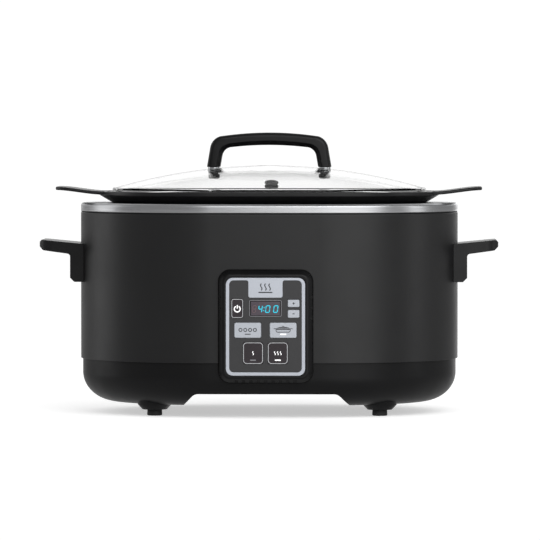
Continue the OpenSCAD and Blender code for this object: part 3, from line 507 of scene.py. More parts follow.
PRINT_DARK = plain_look("print_dark", srgb(52, 53, 56), 0.5)
PRINT_PALE = plain_look("print_pale", srgb(178, 179, 182), 0.5)
PRINT_GREY = plain_look("print_grey", srgb(122, 122, 126), 0.5)
# White print on the keys, with a faint painted glow: painted light on a print that is no lamp.
PRINT_WHITE_PAINTED_GLOW = plain_look("print_white_painted_glow", srgb(236), 0.5, glow=0.4)
LIT_WHITE = plain_look("lit_white", srgb(250), 0.4, glow=0.5)
LIT_CYAN = plain_look("lit_cyan", srgb(14, 168, 190), 0.4, glow=0.45)
UNLIT_DIGIT = plain_look("unlit_digit", srgb(84, 66, 70), 0.4)
WINDOW_FILM = plain_look("window_film", srgb(66, 58, 66), 0.2)


def dress(piece, look):
    """Gives a piece its look."""
    piece.data.materials.clear()
    piece.data.materials.append(look.material)
    return piece


def finish_piece(piece, body, slot, *nodes, look=None):
    """Dresses a piece, and says what it rides on and which CAD nodes it stands for."""
    dress(piece, look or LOOKS[slot])
    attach(piece, body)
    if nodes:
        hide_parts(*nodes)
    return piece


# ---------------------------------------------------------------- camera, light, floor

def make_camera():
    away, across, up = 5.5, math.radians(1.52), 0.3083
    aim = Vector((0.0007, 0, 0.145))
    data = bpy.data.cameras.new("camera")
    data.lens = 357
    data.sensor_width = 36
    data.clip_start = 0.1
    data.clip_end = 200
    camera = bpy.data.objects.new("camera", data)
    camera.location = (away * math.sin(across), -away * math.cos(across), up)
    camera.rotation_mode = "QUATERNION"
    camera.rotation_quaternion = (aim - camera.location).to_track_quat("-Z", "Y")
    bpy.context.scene.collection.objects.link(camera)
    bpy.context.scene.camera = camera


def softbox(name, turn, lift, away, w, h, glow, aim=(0, 0, 0.14)):
    """A soft light at a turn round from the front (degrees, towards +X) and a lift above the horizon."""
    turn, lift = math.radians(turn), math.radians(lift)
    at = Vector(aim) + away * Vector((
        math.sin(turn) * math.cos(lift), -math.cos(turn) * math.cos(lift), math.sin(lift)))
    data = bpy.data.lights.new(name, "AREA")
    data.shape = "RECTANGLE"
    data.size, data.size_y = w, h
    data.energy = glow * math.pi * w * h
    light = bpy.data.objects.new(name, data)
    light.location = at
    light.rotation_mode = "QUATERNION"
    light.rotation_quaternion = (Vector(aim) - at).to_track_quat("-Z", "Y")
    light.visible_camera = False
    light.visible_transmission = False
    bpy.context.scene.collection.objects.link(light)


def make_floor():
    """A pale disc under the cooker. Its own faint glow keeps the contact shadow soft."""
    floor = mesh_piece("floor", circle(1.6, 0, 96), [tuple(range(96))])
    look = Look("floor_white", (0.8, 0.8, 0.8, 1.0), 0.9, Emission_Color=(1, 1, 1, 1), Emission_Strength=0.5)
    look.tint((3, 2), 0.995, 1.005)
    dress(floor, look)
    floor.visible_glossy = False


def make_world():
    """White all round for the eye and through glass, and a dim room, lighter at the rear, for reflections."""
    world = bpy.data.worlds.new("studio")
    world.use_nodes = True
    bpy.context.scene.world = world
    nodes, links = world.node_tree.nodes, world.node_tree.links
    background = nodes["Background"]
    path = nodes.new("ShaderNodeLightPath")
    seen = nodes.new("ShaderNodeMath")
    seen.operation = "MAXIMUM"
    links.new(path.outputs["Is Camera Ray"], seen.inputs[0])
    links.new(path.outputs["Transmission Depth"], seen.inputs[1])
    seen.use_clamp = True
    place = nodes.new("ShaderNodeSeparateXYZ")
    links.new(nodes.new("ShaderNodeTexCoord").outputs["Generated"], place.inputs[0])

    def ramp(axis, start, end, low, high):
        node = nodes.new("ShaderNodeMapRange")
        links.new(place.outputs[axis], node.inputs["Value"])
        for socket, value in (("From Min", start), ("From Max", end), ("To Min", low), ("To Max", high)):
            node.inputs[socket].default_value = value
        return node.outputs[0]

    def work(operation, a, b):
        node = nodes.new("ShaderNodeMath")
        node.operation = operation
        links.new(a, node.inputs[0])
        links.new(b, node.inputs[1])
        return node.outputs[0]

    room = work("ADD", ramp("Z", -0.35, 0.0, 0.45, 0.26), ramp("Y", 0.85, 0.98, 0, 0.5))
    sky = work("MULTIPLY", ramp("Z", 0.05, 0.3, 0, 0.9), ramp("Y", 0.6, 0.9, 0, 1))
    mirrored_room = work("ADD", room, sky)
    last = None
    for factor, value in ((path.outputs["Is Glossy Ray"], mirrored_room), (seen.outputs[0], 1.05)):
        mix = nodes.new("ShaderNodeMix")
        links.new(factor, mix.inputs[0])
        if last is None:
            mix.inputs[2].default_value = 0.66
            links.new(value, mix.inputs[3])
        else:
            links.new(last, mix.inputs[2])
            mix.inputs[3].default_value = value
        last = mix.outputs[0]
    links.new(last, background.inputs["Strength"])
    background.inputs["Color"].default_value = (1, 1, 1, 1)


def make_lights():
    softbox("light_top", 24, 40, 1.5, 1.6, 0.6, 2.1)
    softbox("light_left", -104, 12, 1.6, 0.75, 1.2, 0.95)
    softbox("light_right", 84, 12, 1.6, 0.4, 1.2, 1.2)
    softbox("light_right_rear", 160, 8, 1.6, 0.4, 1.2, 0.8)
    softbox("light_front_right", 23, 8, 0.9, 0.85, 0.9, 1.1)


make_camera()
make_floor()
make_world()
make_lights()
bpy.context.scene.view_settings.view_transform = "Standard"


# ---------------------------------------------------------------- housing

BEZEL_LOW, BEZEL_HIGH = box("panel_bezel")
BEZEL_GAP = 1 * MM
BEZEL_FLANGE = 3 * MM
BEZEL_HALF_W = BEZEL_HIGH.x - BEZEL_FLANGE - BEZEL_GAP
BEZEL_BOTTOM = BEZEL_LOW.z
BEZEL_TOP = BEZEL_HIGH.z - BEZEL_FLANGE - BEZEL_GAP
PANEL_Z = (BEZEL_BOTTOM + BEZEL_TOP) / 2
BEZEL_CORNER = 11.4 * MM
BEZEL_Y = BEZEL_LOW.y


def bezel_outline(inset):
    corners = rectangle(2 * BEZEL_HALF_W, BEZEL_TOP - BEZEL_BOTTOM, 0, PANEL_Z)
    return rounded(corners, BEZEL_CORNER, inset, steps=12)


def bezel_cutter():
    """Solid that clears the bezel's opening in the shell and the base."""
    return prism("cutter", bezel_outline(-BEZEL_GAP), BEZEL_Y - 0.02, BEZEL_HIGH.y + 0.01)


def sheet_section(corners, radii):
    return rounded(corners, radii, steps=5)


def make_shell():
    low, high = SHELL_LOW.z, SHELL_HIGH.z
    inner = SHELL_R - SHEET
    flange = inner - 4 * MM
    section = sheet_section([
        (flange, low), (SHELL_R, low), (SHELL_R, high), (flange, high),
        (flange, high - SHEET), (inner, high - SHEET), (inner, low + SHEET), (flange, low + SHEET),
    ], mm(0, 0.4, 1.6, 0, 0, 0.6, 0.6, 0))
    shell = oval("body_shell", section, ring=True)
    combine(shell, [bezel_cutter()])
    weight_normals(shell)
    return finish_piece(shell, "housing", "shell_paint", "outer_shell")


def make_collar():
    low, high = box("rim_collar")
    r = high.y
    edge = 3 * MM
    jacket, gap = 28 * MM, 1.5 * MM
    inner_r = SHELL_R - SHEET - jacket - SHEET - gap
    section = sheet_section([
        (r - SHEET, low.z), (r, low.z), (r, high.z), (inner_r, high.z), (inner_r, high.z - 4 * MM),
        (inner_r + SHEET, high.z - 4 * MM), (inner_r + SHEET, high.z - SHEET), (r - SHEET, high.z - SHEET),
    ], [0.3 * MM, 0.5 * MM, edge, 1.2 * MM, 0.3 * MM, 0.3 * MM, 0.4 * MM, edge - SHEET])
    collar = oval("steel_collar", section, ring=True, angle=50)
    return finish_piece(collar, "housing", "collar_steel", "rim_collar")


# A thin black ring between the collar and the shell. It is painted shade: a dark ring put where the gap under
# the collar shows shadow.
def make_shadow_gap_seal():
    low, high = box("shell_seal")
    r = high.y
    lip = 0.2 * MM
    section = sheet_section(
        [(r - 6 * MM, low.z), (r, low.z), (r, high.z), (r - 6 * MM, high.z)], [0, lip, lip, 0])
    return finish_piece(oval("shadow_gap_seal", section, ring=True), "housing", "seal_rubber", "shell_seal")


BASE_FOOT = 5 * MM
BASE_SPARE = 3 * MM
BASE_WALL = 3 * MM


def base_section(wall):
    """Half section of the base, with a rounded underside; a wall above 0 gives its hollow."""
    low, high = box("base_housing")
    r = high.y
    lobe_z = low.z + BASE_FOOT
    round_w, round_h = mm(34, 30)
    steps = 32
    points = [(2 * MM, lobe_z + wall)]
    for i in range(steps + 1):
        a = math.pi / 2 * i / steps
        points.append((
            r - round_w + (round_w - wall) * math.sin(a),
            lobe_z + round_h - (round_h - wall) * math.cos(a),
        ))
    if wall:
        return points + [(r - wall, high.z + 5 * MM), (2 * MM, high.z + 5 * MM)]
    return points + [(r, high.z + BASE_SPARE), (2 * MM, high.z + BASE_SPARE)]


def notch_solid(wall, depth):
    """The space between the base's two lobes, front to back."""
    lobe_z = box("base_housing")[0].z + BASE_FOOT
    top = 23.9 * MM + wall
    half = 72 * MM + wall
    foot = half + 12 * MM
    outline = rounded([
        (-foot - 1 * MM, -5 * MM), (foot + 1 * MM, -5 * MM), (foot, lobe_z),
        (half, top), (-half, top), (-foot, lobe_z),
    ], mm(0, 0, 0, 9, 9, 0), steps=8)
    return prism("cutter", outline, -depth, depth)


FEET = ("foot_front_left", "foot_front_right", "foot_rear_left", "foot_rear_right")


def foot_middle(node):
    low, high = box(node)
    return (low + high) / 2


def make_base():
    """The base, built BASE_SPARE too tall and cut, so that its softened top edge stays under the shell."""
    low, high = box("base_housing")
    depth = high.y + 10 * MM
    base = oval("base_shell", base_section(0), angle=30)
    hollow = oval("cutter", base_section(BASE_WALL))
    combine(hollow, [notch_solid(BASE_WALL, depth + 10 * MM)])
    combine(base, [notch_solid(0, depth)])
    soften(base, 1.2 * MM, 3, 25, 30)
    settle(base)
    inner_r, outer_r, top = 1 * MM, high.y + 5 * MM, high.z + 9 * MM
    above = oval("cutter", [(inner_r, high.z), (outer_r, high.z), (outer_r, top), (inner_r, top)])
    combine(base, [hollow, above, bezel_cutter()])
    bosses = []
    for node in FEET:
        at = foot_middle(node)
        place = Matrix.Translation((at.x, at.y, 0))
        top_z = low.z + 13 * MM
        bosses.append(turned("boss", [
            (5.2 * MM, top_z), (5.2 * MM, low.z), (12.4 * MM, low.z), (13 * MM, low.z + 0.6 * MM),
            (17.2 * MM, low.z + 5 * MM), (17.2 * MM, top_z),
        ], place, ring=True, angle=30))
    combine(base, bosses, "UNION", 30)
    weight_normals(base)
    return finish_piece(base, "housing", "base_plastic", "base_housing")


def make_feet():
    for node in FEET:
        high = box(node)[1]
        at = foot_middle(node)
        r = high.x - at.x
        boss_z = box("base_housing")[0].z
        section = [
            (3.2 * MM, 0.9 * MM), (4.2 * MM, 0.0), (r - 1.2 * MM, 0.0), (r - 0.35 * MM, 0.35 * MM),
            (r, 1.2 * MM), (r - 0.25 * MM, boss_z - 0.5 * MM), (r - 0.6 * MM, boss_z - 0.05 * MM),
            (4.6 * MM, boss_z - 0.05 * MM), (4.6 * MM, high.z), (3.2 * MM, high.z),
        ]
        name = node.replace("foot_", "rubber_foot_")
        foot = turned(name, section, Matrix.Translation((at.x, at.y, 0)), ring=True)
        finish_piece(foot, "housing", "foot_rubber", node)


# ---------------------------------------------------------------- side handles

def make_side_handles():
    low, high = box("right_handle")
    tip_x, tip_z = high.x, high.z
    shell_x = HALF + SHELL_R
    half_w = high.y
    rise = 3.8 * MM
    arm_t = 10.8 * MM
    pad_t, pad_edge, tip_edge, top_edge = mm(9.4, 4.3, 4, 2.5)
    pad_x = shell_x + pad_t
    root_x = shell_x - pad_t
    outline = rounded([
        (root_x, low.z), (pad_x - pad_edge, low.z), (pad_x, low.z + pad_edge), (pad_x, tip_z - rise - arm_t),
        (tip_x - tip_edge, tip_z - arm_t), (tip_x, tip_z - arm_t + tip_edge), (tip_x, tip_z - top_edge),
        (tip_x - top_edge, tip_z), (shell_x, tip_z - rise), (root_x, tip_z - rise),
    ], mm(0, 1.2, 1.2, 3, 1.2, 1.2, 0.9, 0.9, 0, 0), steps=5)
    plan = rounded(
        [(shell_x - 60 * MM, -half_w), (tip_x, -half_w), (tip_x, half_w), (shell_x - 60 * MM, half_w)],
        mm(0, 14, 14, 0), steps=14)
    handle = prism("right_side_handle", outline, -half_w - 5 * MM, half_w + 5 * MM)
    combine(handle, [prism("cutter", plan, low.z - 0.01, high.z + 0.01, "Z")], "INTERSECT")
    shell_post = oval("cutter", [(SHELL_R + 0.1 * MM, 0.05), (SHELL_R + 0.1 * MM, 0.3)])
    combine(handle, [shell_post])
    soften(handle, 1.1 * MM, 4, 60, 35)
    settle(handle)
    other = mirrored(handle, "left_side_handle")
    for piece in (handle, other):
        weight_normals(piece)
    finish_piece(handle, "housing", "handle_plastic", "right_handle")
    finish_piece(other, "housing", "handle_plastic", "left_handle")


# ---------------------------------------------------------------- front panel

TRIM_LOW, TRIM_HIGH = box("panel_trim")
TRIM_CORNER = 7 * MM
TRIM_W = 2 * TRIM_HIGH.x
TRIM_H = TRIM_HIGH.z - TRIM_LOW.z
TRIM_Y = TRIM_LOW.y


def make_bezel():
    bevel_w, bevel_d = mm(4, 5.5)
    front, back = BEZEL_Y, BEZEL_HIGH.y
    opening_w, opening_h = TRIM_W + 0.3 * MM, TRIM_H + 0.3 * MM

    def opening(inset):
        corners = rectangle(opening_w, opening_h, 0, PANEL_Z)
        return rounded(corners, TRIM_CORNER, inset, steps=12)

    flange = -BEZEL_GAP - 1.2 * MM
    flange_y, shelf_y = back - 0.8 * MM, TRIM_HIGH.y + 0.1 * MM
    outside = [
        (flange, back), (flange, flange_y), (0, flange_y),
        (0, front + bevel_d + 0.4 * MM), (0.15 * MM, front + bevel_d - 0.3 * MM),
    ]
    outside += [(bevel_w + inset * MM, front + y * MM) for inset, y in (
        (-0.7, 1.15), (-0.35, 0.75), (0.05, 0.43), (0.5, 0.2), (1, 0.05), (1.5, 0))]
    inside = [
        (-0.7 * MM, front), (-0.2 * MM, front + 0.2 * MM), (0, front + 0.7 * MM),
        (0, shelf_y), (2 * MM, shelf_y), (2 * MM, back),
    ]
    layers = [upright(bezel_outline(inset), y) for inset, y in outside]
    layers += [upright(opening(inset), y) for inset, y in inside]
    bezel = loft("bezel_frame", layers, ring=True, angle=30)
    slot_pitch = 7.37 * MM
    slots = [rectangle(3.5 * MM, 5 * MM, i * slot_pitch, BEZEL_BOTTOM) for i in range(-4, 5)]
    slots += [
        rectangle(5 * MM, 2.8 * MM, side * BEZEL_HALF_W, PANEL_Z + z * MM)
        for side in (-1, 1) for z in (8.1, 19, 29.8)
    ]
    slot_low, slot_high = front + 1.4 * MM, front + bevel_d + 1 * MM
    cutters = [prism("cutter", rounded(slot, 0.5 * MM, steps=3), slot_low, slot_high) for slot in slots]
    combine(bezel, cutters, angle=30)
    weight_normals(bezel)
    return finish_piece(bezel, "housing", "bezel_plastic", "panel_bezel")


def window_corners():
    """Corners of the opening in the trim, with the crest that hangs into its top."""
    side, top, bottom = mm(3.4, 2.5, 3.3)
    crest_w, crest_h = mm(34.3, 19.9)
    x = TRIM_W / 2 - side
    low, high = TRIM_LOW.z + bottom, TRIM_HIGH.z - top
    c = crest_w / 2
    crest_z = TRIM_HIGH.z - crest_h
    return [(-x, low), (x, low), (x, high), (c, high), (c, crest_z), (-c, crest_z), (-c, high), (-x, high)]


WINDOW_RADII = mm(4.5, 4.5, 4.5, 2.2, 2.2, 2.2, 2.2, 4.5)


def window(inset):
    return rounded(window_corners(), WINDOW_RADII, inset, steps=8)


def framed(name, outer, inner, front, back, edge=0.35 * MM):
    """A flat frame with a rounded front edge inside and out."""
    def walls(outline, sign):
        return [
            upright(outline(0), back),
            upright(outline(0), front + edge),
            upright(outline(sign * 0.3 * edge), front + 0.3 * edge),
            upright(outline(sign * edge), front),
        ]
    outside, inside = walls(outer, 1), walls(inner, -1)
    points, faces = [], []
    for loops in (outside, inside):
        count = len(loops[0])
        for k, one in enumerate(loops):
            at = len(points)
            points += one
            for i in range(count if k else 0):
                after = (i + 1) % count
                faces.append((at - count + i, at - count + after, at + after, at + i))
    starts = [0, 3 * len(outside[0]), 4 * len(outside[0]), 4 * len(outside[0]) + 3 * len(inside[0])]
    for a, b, first, second in ((0, 2, outside[0], inside[0]), (1, 3, outside[3], inside[3])):
        flat = [[Vector((p.x, p.z, 0)) for p in one] for one in (first, second)]
        for corners in geometry.tessellate_polygon(flat):
            faces.append(tuple(
                starts[a] + i if i < len(first) else starts[b] + i - len(first) for i in corners))
    return mesh_piece(name, points, faces, 30)


def make_trim():
    def outer(inset):
        return rounded(rectangle(TRIM_W, TRIM_H, 0, PANEL_Z), TRIM_CORNER, inset, steps=10)
    trim = framed("silver_trim", outer, window, TRIM_Y, TRIM_HIGH.y)
    weight_normals(trim)
    return finish_piece(trim, "housing", "trim_silver", "panel_trim")


MARK_DEPTH = 0.05 * MM
MARK_ROOM = 0.06 * MM


def marks(name, outlines, y, body, slot, look, depth=MARK_DEPTH):
    """Thin printed or lit shapes on a face at depth y, as one piece."""
    parts = [prism("part", outline, y - depth, y) for outline in outlines]
    return finish_piece(join(name, parts), body, slot, look=look)


def ring_mark(name, outer, inner, y, body, slot, look, depth=MARK_DEPTH):
    """A thin printed line that follows an outline."""
    piece = framed(name, outer, inner, y - depth, y, edge=0.01 * MM)
    return finish_piece(piece, body, slot, look=look)


KEY_CORNER = 1.6 * MM
SMALL_KEY_CORNER = 1.2 * MM
KEY_FLANGE = 1 * MM

# The body, the slot and the cap's corner of each key.
KEYS = {
    "power_key": ("power_button", "key_dark", KEY_CORNER),
    "plus_key": ("plus_button", "key_silver", SMALL_KEY_CORNER),
    "minus_key": ("minus_button", "key_silver", SMALL_KEY_CORNER),
    "stove_key": ("stove_button", "key_silver", KEY_CORNER),
    "slow_cook_key": ("slow_cook_button", "key_silver", KEY_CORNER),
    "low_key": ("low_button", "key_dark", KEY_CORNER),
    "high_key": ("high_button", "key_dark", KEY_CORNER),
}


def key_face(node):
    """Middle, width, height and front of a key's cap."""
    low, high = box(node)
    x, z = (low.x + high.x) / 2, (low.z + high.z) / 2
    return x, z, high.x - low.x - 2 * KEY_FLANGE, high.z - low.z - 2 * KEY_FLANGE, low.y + MARK_ROOM


def make_key(node):
    body, slot, corner = KEYS[node]
    x, z, w, h, front = key_face(node)
    back = box(node)[1].y
    collar_y = TRIM_HIGH.y + 0.1 * MM
    collar_front = collar_y + 0.9 * MM
    stem_r, stem_sides = 1.9 * MM, 36

    def cap(inset):
        return rounded(rectangle(w, h, x, z), corner, inset, steps=8)

    def flange(inset):
        return rounded(rectangle(w, h, x, z), corner + KEY_FLANGE, inset - KEY_FLANGE, steps=8)

    turns = [math.tau * (i + 0.5) / stem_sides - math.pi * 0.75 for i in range(stem_sides)]
    stem = [(x + stem_r * math.cos(a), z + stem_r * math.sin(a)) for a in turns]
    key = slab(node + "_cap", cap, [
        (0, collar_y), (0, front + 0.5 * MM), (0.12 * MM, front + 0.2 * MM), (0.3 * MM, front + 0.06 * MM),
        (0.7 * MM, front),
    ], 30)
    rim = slab("rim", flange, [(0, collar_y), (0, collar_front)], 30)
    whole = join(node + "_cap", [key, rim, prism("post", stem, collar_front, back)])
    weight_normals(whole)
    return finish_piece(whole, body, slot, node)


def key_marks(name, node, outlines, look):
    """Printed or lit shapes on a key."""
    body, slot, _ = KEYS[node]
    return marks(name, outlines, key_face(node)[4], body, slot, look)


def key_outline(node, corner, width):
    """A pale line just inside a key's edge."""
    body, slot, _ = KEYS[node]
    x, z, w, h, front = key_face(node)
    inset = 0.1 * MM

    def edge(more):
        return rounded(rectangle(w, h, x, z), corner, more, steps=8)

    outer, inner = (lambda more: edge(inset + more)), (lambda more: edge(inset + width + more))
    return ring_mark(node + "_outline", outer, inner, front + 0.01 * MM, body, slot, PRINT_PALE, 0.04 * MM)


def key_bar(name, node, look, drop, h):
    """A short lit or printed bar, drop below a key's middle."""
    x, z = key_face(node)[:2]
    return key_marks(name, node, [rounded(rectangle(5.9 * MM, h, x, z - drop), 0.3 * MM, steps=3)], look)


def arc_band(x, z, r, width, start, end):
    """Outline of a curved stroke around (x, z)."""
    steps = 24
    angles = [math.radians(start + (end - start) * i / steps) for i in range(steps + 1)]
    out = [(x + (r + width / 2) * math.cos(a), z + (r + width / 2) * math.sin(a)) for a in angles]
    back = [(x + (r - width / 2) * math.cos(a), z + (r - width / 2) * math.sin(a)) for a in reversed(angles)]
    return out + back


def wave_band(x, z, h, swing, width):
    """Outline of a short upright wavy stroke."""
    steps = 20
    line = [(x + swing * math.sin(math.tau * i / steps), z - h / 2 + h * i / steps) for i in range(steps + 1)]
    return [(a + width / 2, b) for a, b in line] + [(a - width / 2, b) for a, b in reversed(line)]


def make_keys():
    outlines = {"power_key": mm(2.2, 0.5), "low_key": mm(3.6, 0.55), "high_key": mm(3.6, 0.55)}
    for node in KEYS:
        make_key(node)
        if node in outlines:
            key_outline(node, *outlines[node])

    x, z = key_face("power_key")[:2]
    z -= 0.6 * MM
    # The power mark's white print carries a painted glow.
    key_marks("power_mark", "power_key", [
        arc_band(x, z, 2.95 * MM, 1.1 * MM, 118, 422),
        rounded(rectangle(1.0 * MM, 3.6 * MM, x, z + 2.2 * MM), 0.3 * MM, steps=3),
    ], PRINT_WHITE_PAINTED_GLOW)

    x, z = key_face("plus_key")[:2]
    plus = [rectangle(2.2 * MM, 0.8 * MM, x, z), rectangle(0.8 * MM, 2.2 * MM, x, z)]
    key_marks("plus_mark", "plus_key", plus, PRINT_DARK)
    x, z = key_face("minus_key")[:2]
    key_marks("minus_mark", "minus_key", [rectangle(2.1 * MM, 0.9 * MM, x, z)], PRINT_DARK)

    x, z = key_face("stove_key")[:2]
    r, width = mm(1.55, 0.85)
    rings = [arc_band(x + dx * MM, z + 0.3 * MM, r, width, 0, 359.9) for dx in (-7.2, -2.4, 2.4, 7.2)]
    key_marks("stove_mark", "stove_key", rings, PRINT_DARK)
    key_bar("stove_bar", "stove_key", PRINT_DARK, 4 * MM, 0.9 * MM)

    make_pot_mark()
    key_bar("slow_cook_bar", "slow_cook_key", LIT_WHITE, 4.1 * MM, 1.1 * MM)

    for heat, offsets, look, h in (("low", [0], PRINT_GREY, 1.1), ("high", [-2.9, 0, 2.9], LIT_WHITE, 1.2)):
        node = heat + "_key"
        x, z = key_face(node)[:2]
        waves = [wave_band(x + dx * MM, z, 3.8 * MM, 0.5 * MM, 0.8 * MM) for dx in offsets]
        # The white wave print carries a painted glow, on the low key as on the high key.
        key_marks(heat + "_mark", node, waves, PRINT_WHITE_PAINTED_GLOW)
        key_bar(heat + "_bar", node, look, 7 * MM, h * MM)


def make_pot_mark():
    """A covered pot with two tabs, drawn in lines on the slow-cook key."""
    node = "slow_cook_key"
    body, slot, _ = KEYS[node]
    x, z, _, _, front = key_face(node)
    z += 0.2 * MM
    half_line = 0.35 * MM

    def at(points):
        return [(x + a * MM, z + b * MM) for a, b in points]

    vessel = at([(-7.5, 0.5), (-6.4, -2.1), (6.4, -2.1), (7.5, 0.5)])
    corners = mm(0.4, 1.2, 1.2, 0.4)

    def line(more):
        return rounded(vessel, corners, more, steps=5)

    outer, inner = (lambda more: line(more - half_line)), (lambda more: line(more + half_line))
    ring_mark("slow_cook_pot", outer, inner, front, body, slot, PRINT_DARK)
    key_marks("slow_cook_lid", node, [
        rounded(rectangle(19 * MM, 0.7 * MM, x, z + 1.35 * MM), 0.3 * MM, steps=3),
        at([(-6.6, 2.1), (6.6, 2.1), (3.4, 3.1), (-3.4, 3.1)]),
        rounded(rectangle(2.6 * MM, 0.6 * MM, x, z + 3.75 * MM), 0.25 * MM, steps=3),
    ], PRINT_DARK)


SEGMENTS = {"0": "abcdef", "4": "bcfg", "8": "abcdefg"}
SLANT = 0.14


def digit_outlines(figure, x, z, w, h, stroke):
    """The bars of a slanted seven-bar figure, with its middle at (x, z)."""
    gap = 0.12 * stroke
    half_w, half_h, s = w / 2 - stroke / 2, h / 2 - stroke / 2, stroke / 2

    def level(y):
        return [
            (-half_w + gap, y), (-half_w + s, y + s), (half_w - s, y + s),
            (half_w - gap, y), (half_w - s, y - s), (-half_w + s, y - s),
        ]

    def post(at, low, high):
        return [
            (at, low + gap), (at + s, low + s), (at + s, high - s),
            (at, high - gap), (at - s, high - s), (at - s, low + s),
        ]

    bars = {
        "a": level(half_h), "g": level(0), "d": level(-half_h),
        "b": post(half_w, 0, half_h), "c": post(half_w, -half_h, 0),
        "f": post(-half_w, 0, half_h), "e": post(-half_w, -half_h, 0),
    }
    return [[(x + a + SLANT * b, z + b) for a, b in bars[letter]] for letter in SEGMENTS[figure]]


def make_display():
    low, high = box("display_lens")
    x, z = (low.x + high.x) / 2, (low.z + high.z) / 2
    w, h = high.x - low.x, high.z - low.z
    front = low.y + MARK_ROOM

    def lens(inset):
        return rounded(rectangle(w, h, x, z), KEY_CORNER, inset, steps=6)

    glass = slab("display_window", lens, [(0, high.y), (0, front + 0.15 * MM), (0.15 * MM, front)], 30)
    finish_piece(glass, "housing", "lens_black", "display_lens")
    outer, inner = (lambda more: lens(0.1 * MM + more)), (lambda more: lens(0.6 * MM + more))
    proud = front + 0.01 * MM
    ring_mark("display_outline", outer, inner, proud, "housing", "lens_black", PRINT_GREY, 0.04 * MM)

    film = rounded(rectangle(w - 3.6 * MM, h - 3 * MM, x, z - 0.1 * MM), 0.4 * MM, steps=3)
    marks("display_film", [film], front, "housing", "lens_black", WINDOW_FILM, 0.02 * MM)
    h, stroke = mm(7.6, 0.95)
    figures = [("8", -11.2, 4.2, UNLIT_DIGIT, "unlit"), ("4", -5.1, 4.2, LIT_CYAN, "hours"),
               ("0", 2.3, 4.8, LIT_CYAN, "tens"), ("0", 10.3, 4.8, LIT_CYAN, "units")]
    digit_z = z - 0.7 * MM
    for figure, dx, w, look, label in figures:
        outlines = digit_outlines(figure, x + dx * MM, digit_z, w * MM, h, stroke)
        marks("digit_" + label, outlines, front, "housing", "lens_black", look)
    dots = []
    for dz in (-1.5, 1.5):
        dot = rectangle(0.9 * MM, 1.1 * MM, x + (SLANT * dz - 1.55) * MM, digit_z + dz * MM)
        dots.append(rounded(dot, 0.2 * MM, steps=2))
    marks("digit_colon", dots, front, "housing", "lens_black", LIT_CYAN)


def make_crest_mark():
    """Three wisps of steam over a bar, where the panel has its crest."""
    z = TRIM_HIGH.z - 10 * MM
    outlines = [wave_band(dx * MM, z + 0.8 * MM, 7 * MM, 0.7 * MM, 1.1 * MM) for dx in (-4.2, 0, 4.2)]
    outlines.append(rounded(rectangle(14 * MM, 1.2 * MM, 0, z - 4.6 * MM), 0.5 * MM, steps=3))
    marks("crest_mark", outlines, TRIM_Y, "housing", "trim_silver", PRINT_DARK)


# ---------------------------------------------------------------- pot

TAB_RISE = 4.6 * MM


def make_pot():
    low, high = box("cooking_pot")
    lip_r = high.y
    lip_z = high.z - TAB_RISE
    pot_r = lip_r - 15.6 * MM
    wall, floor = mm(2.6, 3.5)
    rim_z = box("rim_collar")[1].z
    ledge_z = box("lid_glass")[0].z
    foot_r = pot_r - 7 * MM
    inner_r = pot_r - wall
    corners = [
        (3 * MM, low.z), (foot_r, low.z), (pot_r, rim_z - 3 * MM), (pot_r + 1.5 * MM, rim_z - 0.4 * MM),
        (lip_r, lip_z - 3.9 * MM), (lip_r, lip_z), (lip_r - 3 * MM, lip_z),
        (inner_r + 7.6 * MM, ledge_z), (inner_r + 1.1 * MM, ledge_z), (inner_r, ledge_z - 1.1 * MM),
        (inner_r, rim_z - 3 * MM), (foot_r - wall, low.z + floor), (3 * MM, low.z + floor),
    ]
    radii = mm(0, 15, 3, 1.2, 1.6, 1.3, 1.2, 0.9, 0.5, 0.8, 6, 12.4, 0)
    pot = oval("cooker_pot", rounded(corners, radii, closed=False, steps=7), angle=55)
    tabs = [make_tab(side, high, lip_r, lip_z) for side in (1, -1)]
    combine(pot, tabs, "UNION", 50)
    return finish_piece(pot, "pot", "pot_coating", "cooking_pot")


def make_tab(side, high, lip_r, lip_z):
    """A carrying tab: flat, as wide as a hand, rising gently from the lip to its tip."""
    root, tip = HALF + lip_r - 9 * MM, high.x
    half_w, corner, thick, rise = 38 * MM, 16 * MM, 3.5 * MM, TAB_RISE
    start = HALF + lip_r - 6 * MM
    stations = [root + (tip - corner - root) * i / 14 for i in range(15)]
    end = 1.2 * MM
    stations += [tip - corner + (corner - end) * math.sin(math.pi / 2 * i / 14) for i in range(1, 15)]
    loops = []
    ends = [(0.45, 0.93), (0.85, 0.78), (1.15, 0.5), (1.2, 0.3)]
    rows = [(x, 1.0) for x in stations] + [(tip - end + d * MM, share) for d, share in ends]
    for x, share in rows:
        into = max(0.0, x - (tip - corner))
        w = half_w - corner + math.sqrt(max(corner ** 2 - into ** 2, 0)) if into < corner else half_w - corner
        part = min(max((x - start) / (tip - start), 0), 1)
        z = lip_z - thick / 2 + rise * part * part * (3 - 2 * part)
        t = thick * share
        outline = rounded([(-w, -t / 2), (w, -t / 2), (w, t / 2), (-w, t / 2)], 0.49 * t, steps=5)
        loops.append([Vector((side * x, p.x, z + p.y)) for p in outline])
    return loft("tab", loops, angle=60)


# ---------------------------------------------------------------- lid

LID_LOW, LID_HIGH = box("lid_glass")
LID_R = LID_HIGH.y
LID_HALF_X = LID_HIGH.x
EDGE_Z = LID_LOW.z + 5.2 * MM
DOME_RISE = 23.6 * MM
GLASS_T = 4 * MM


def dome_z(part):
    """Height of the glass's top face, part of the way out from its middle."""
    return EDGE_Z + DOME_RISE * (1 - part * part)


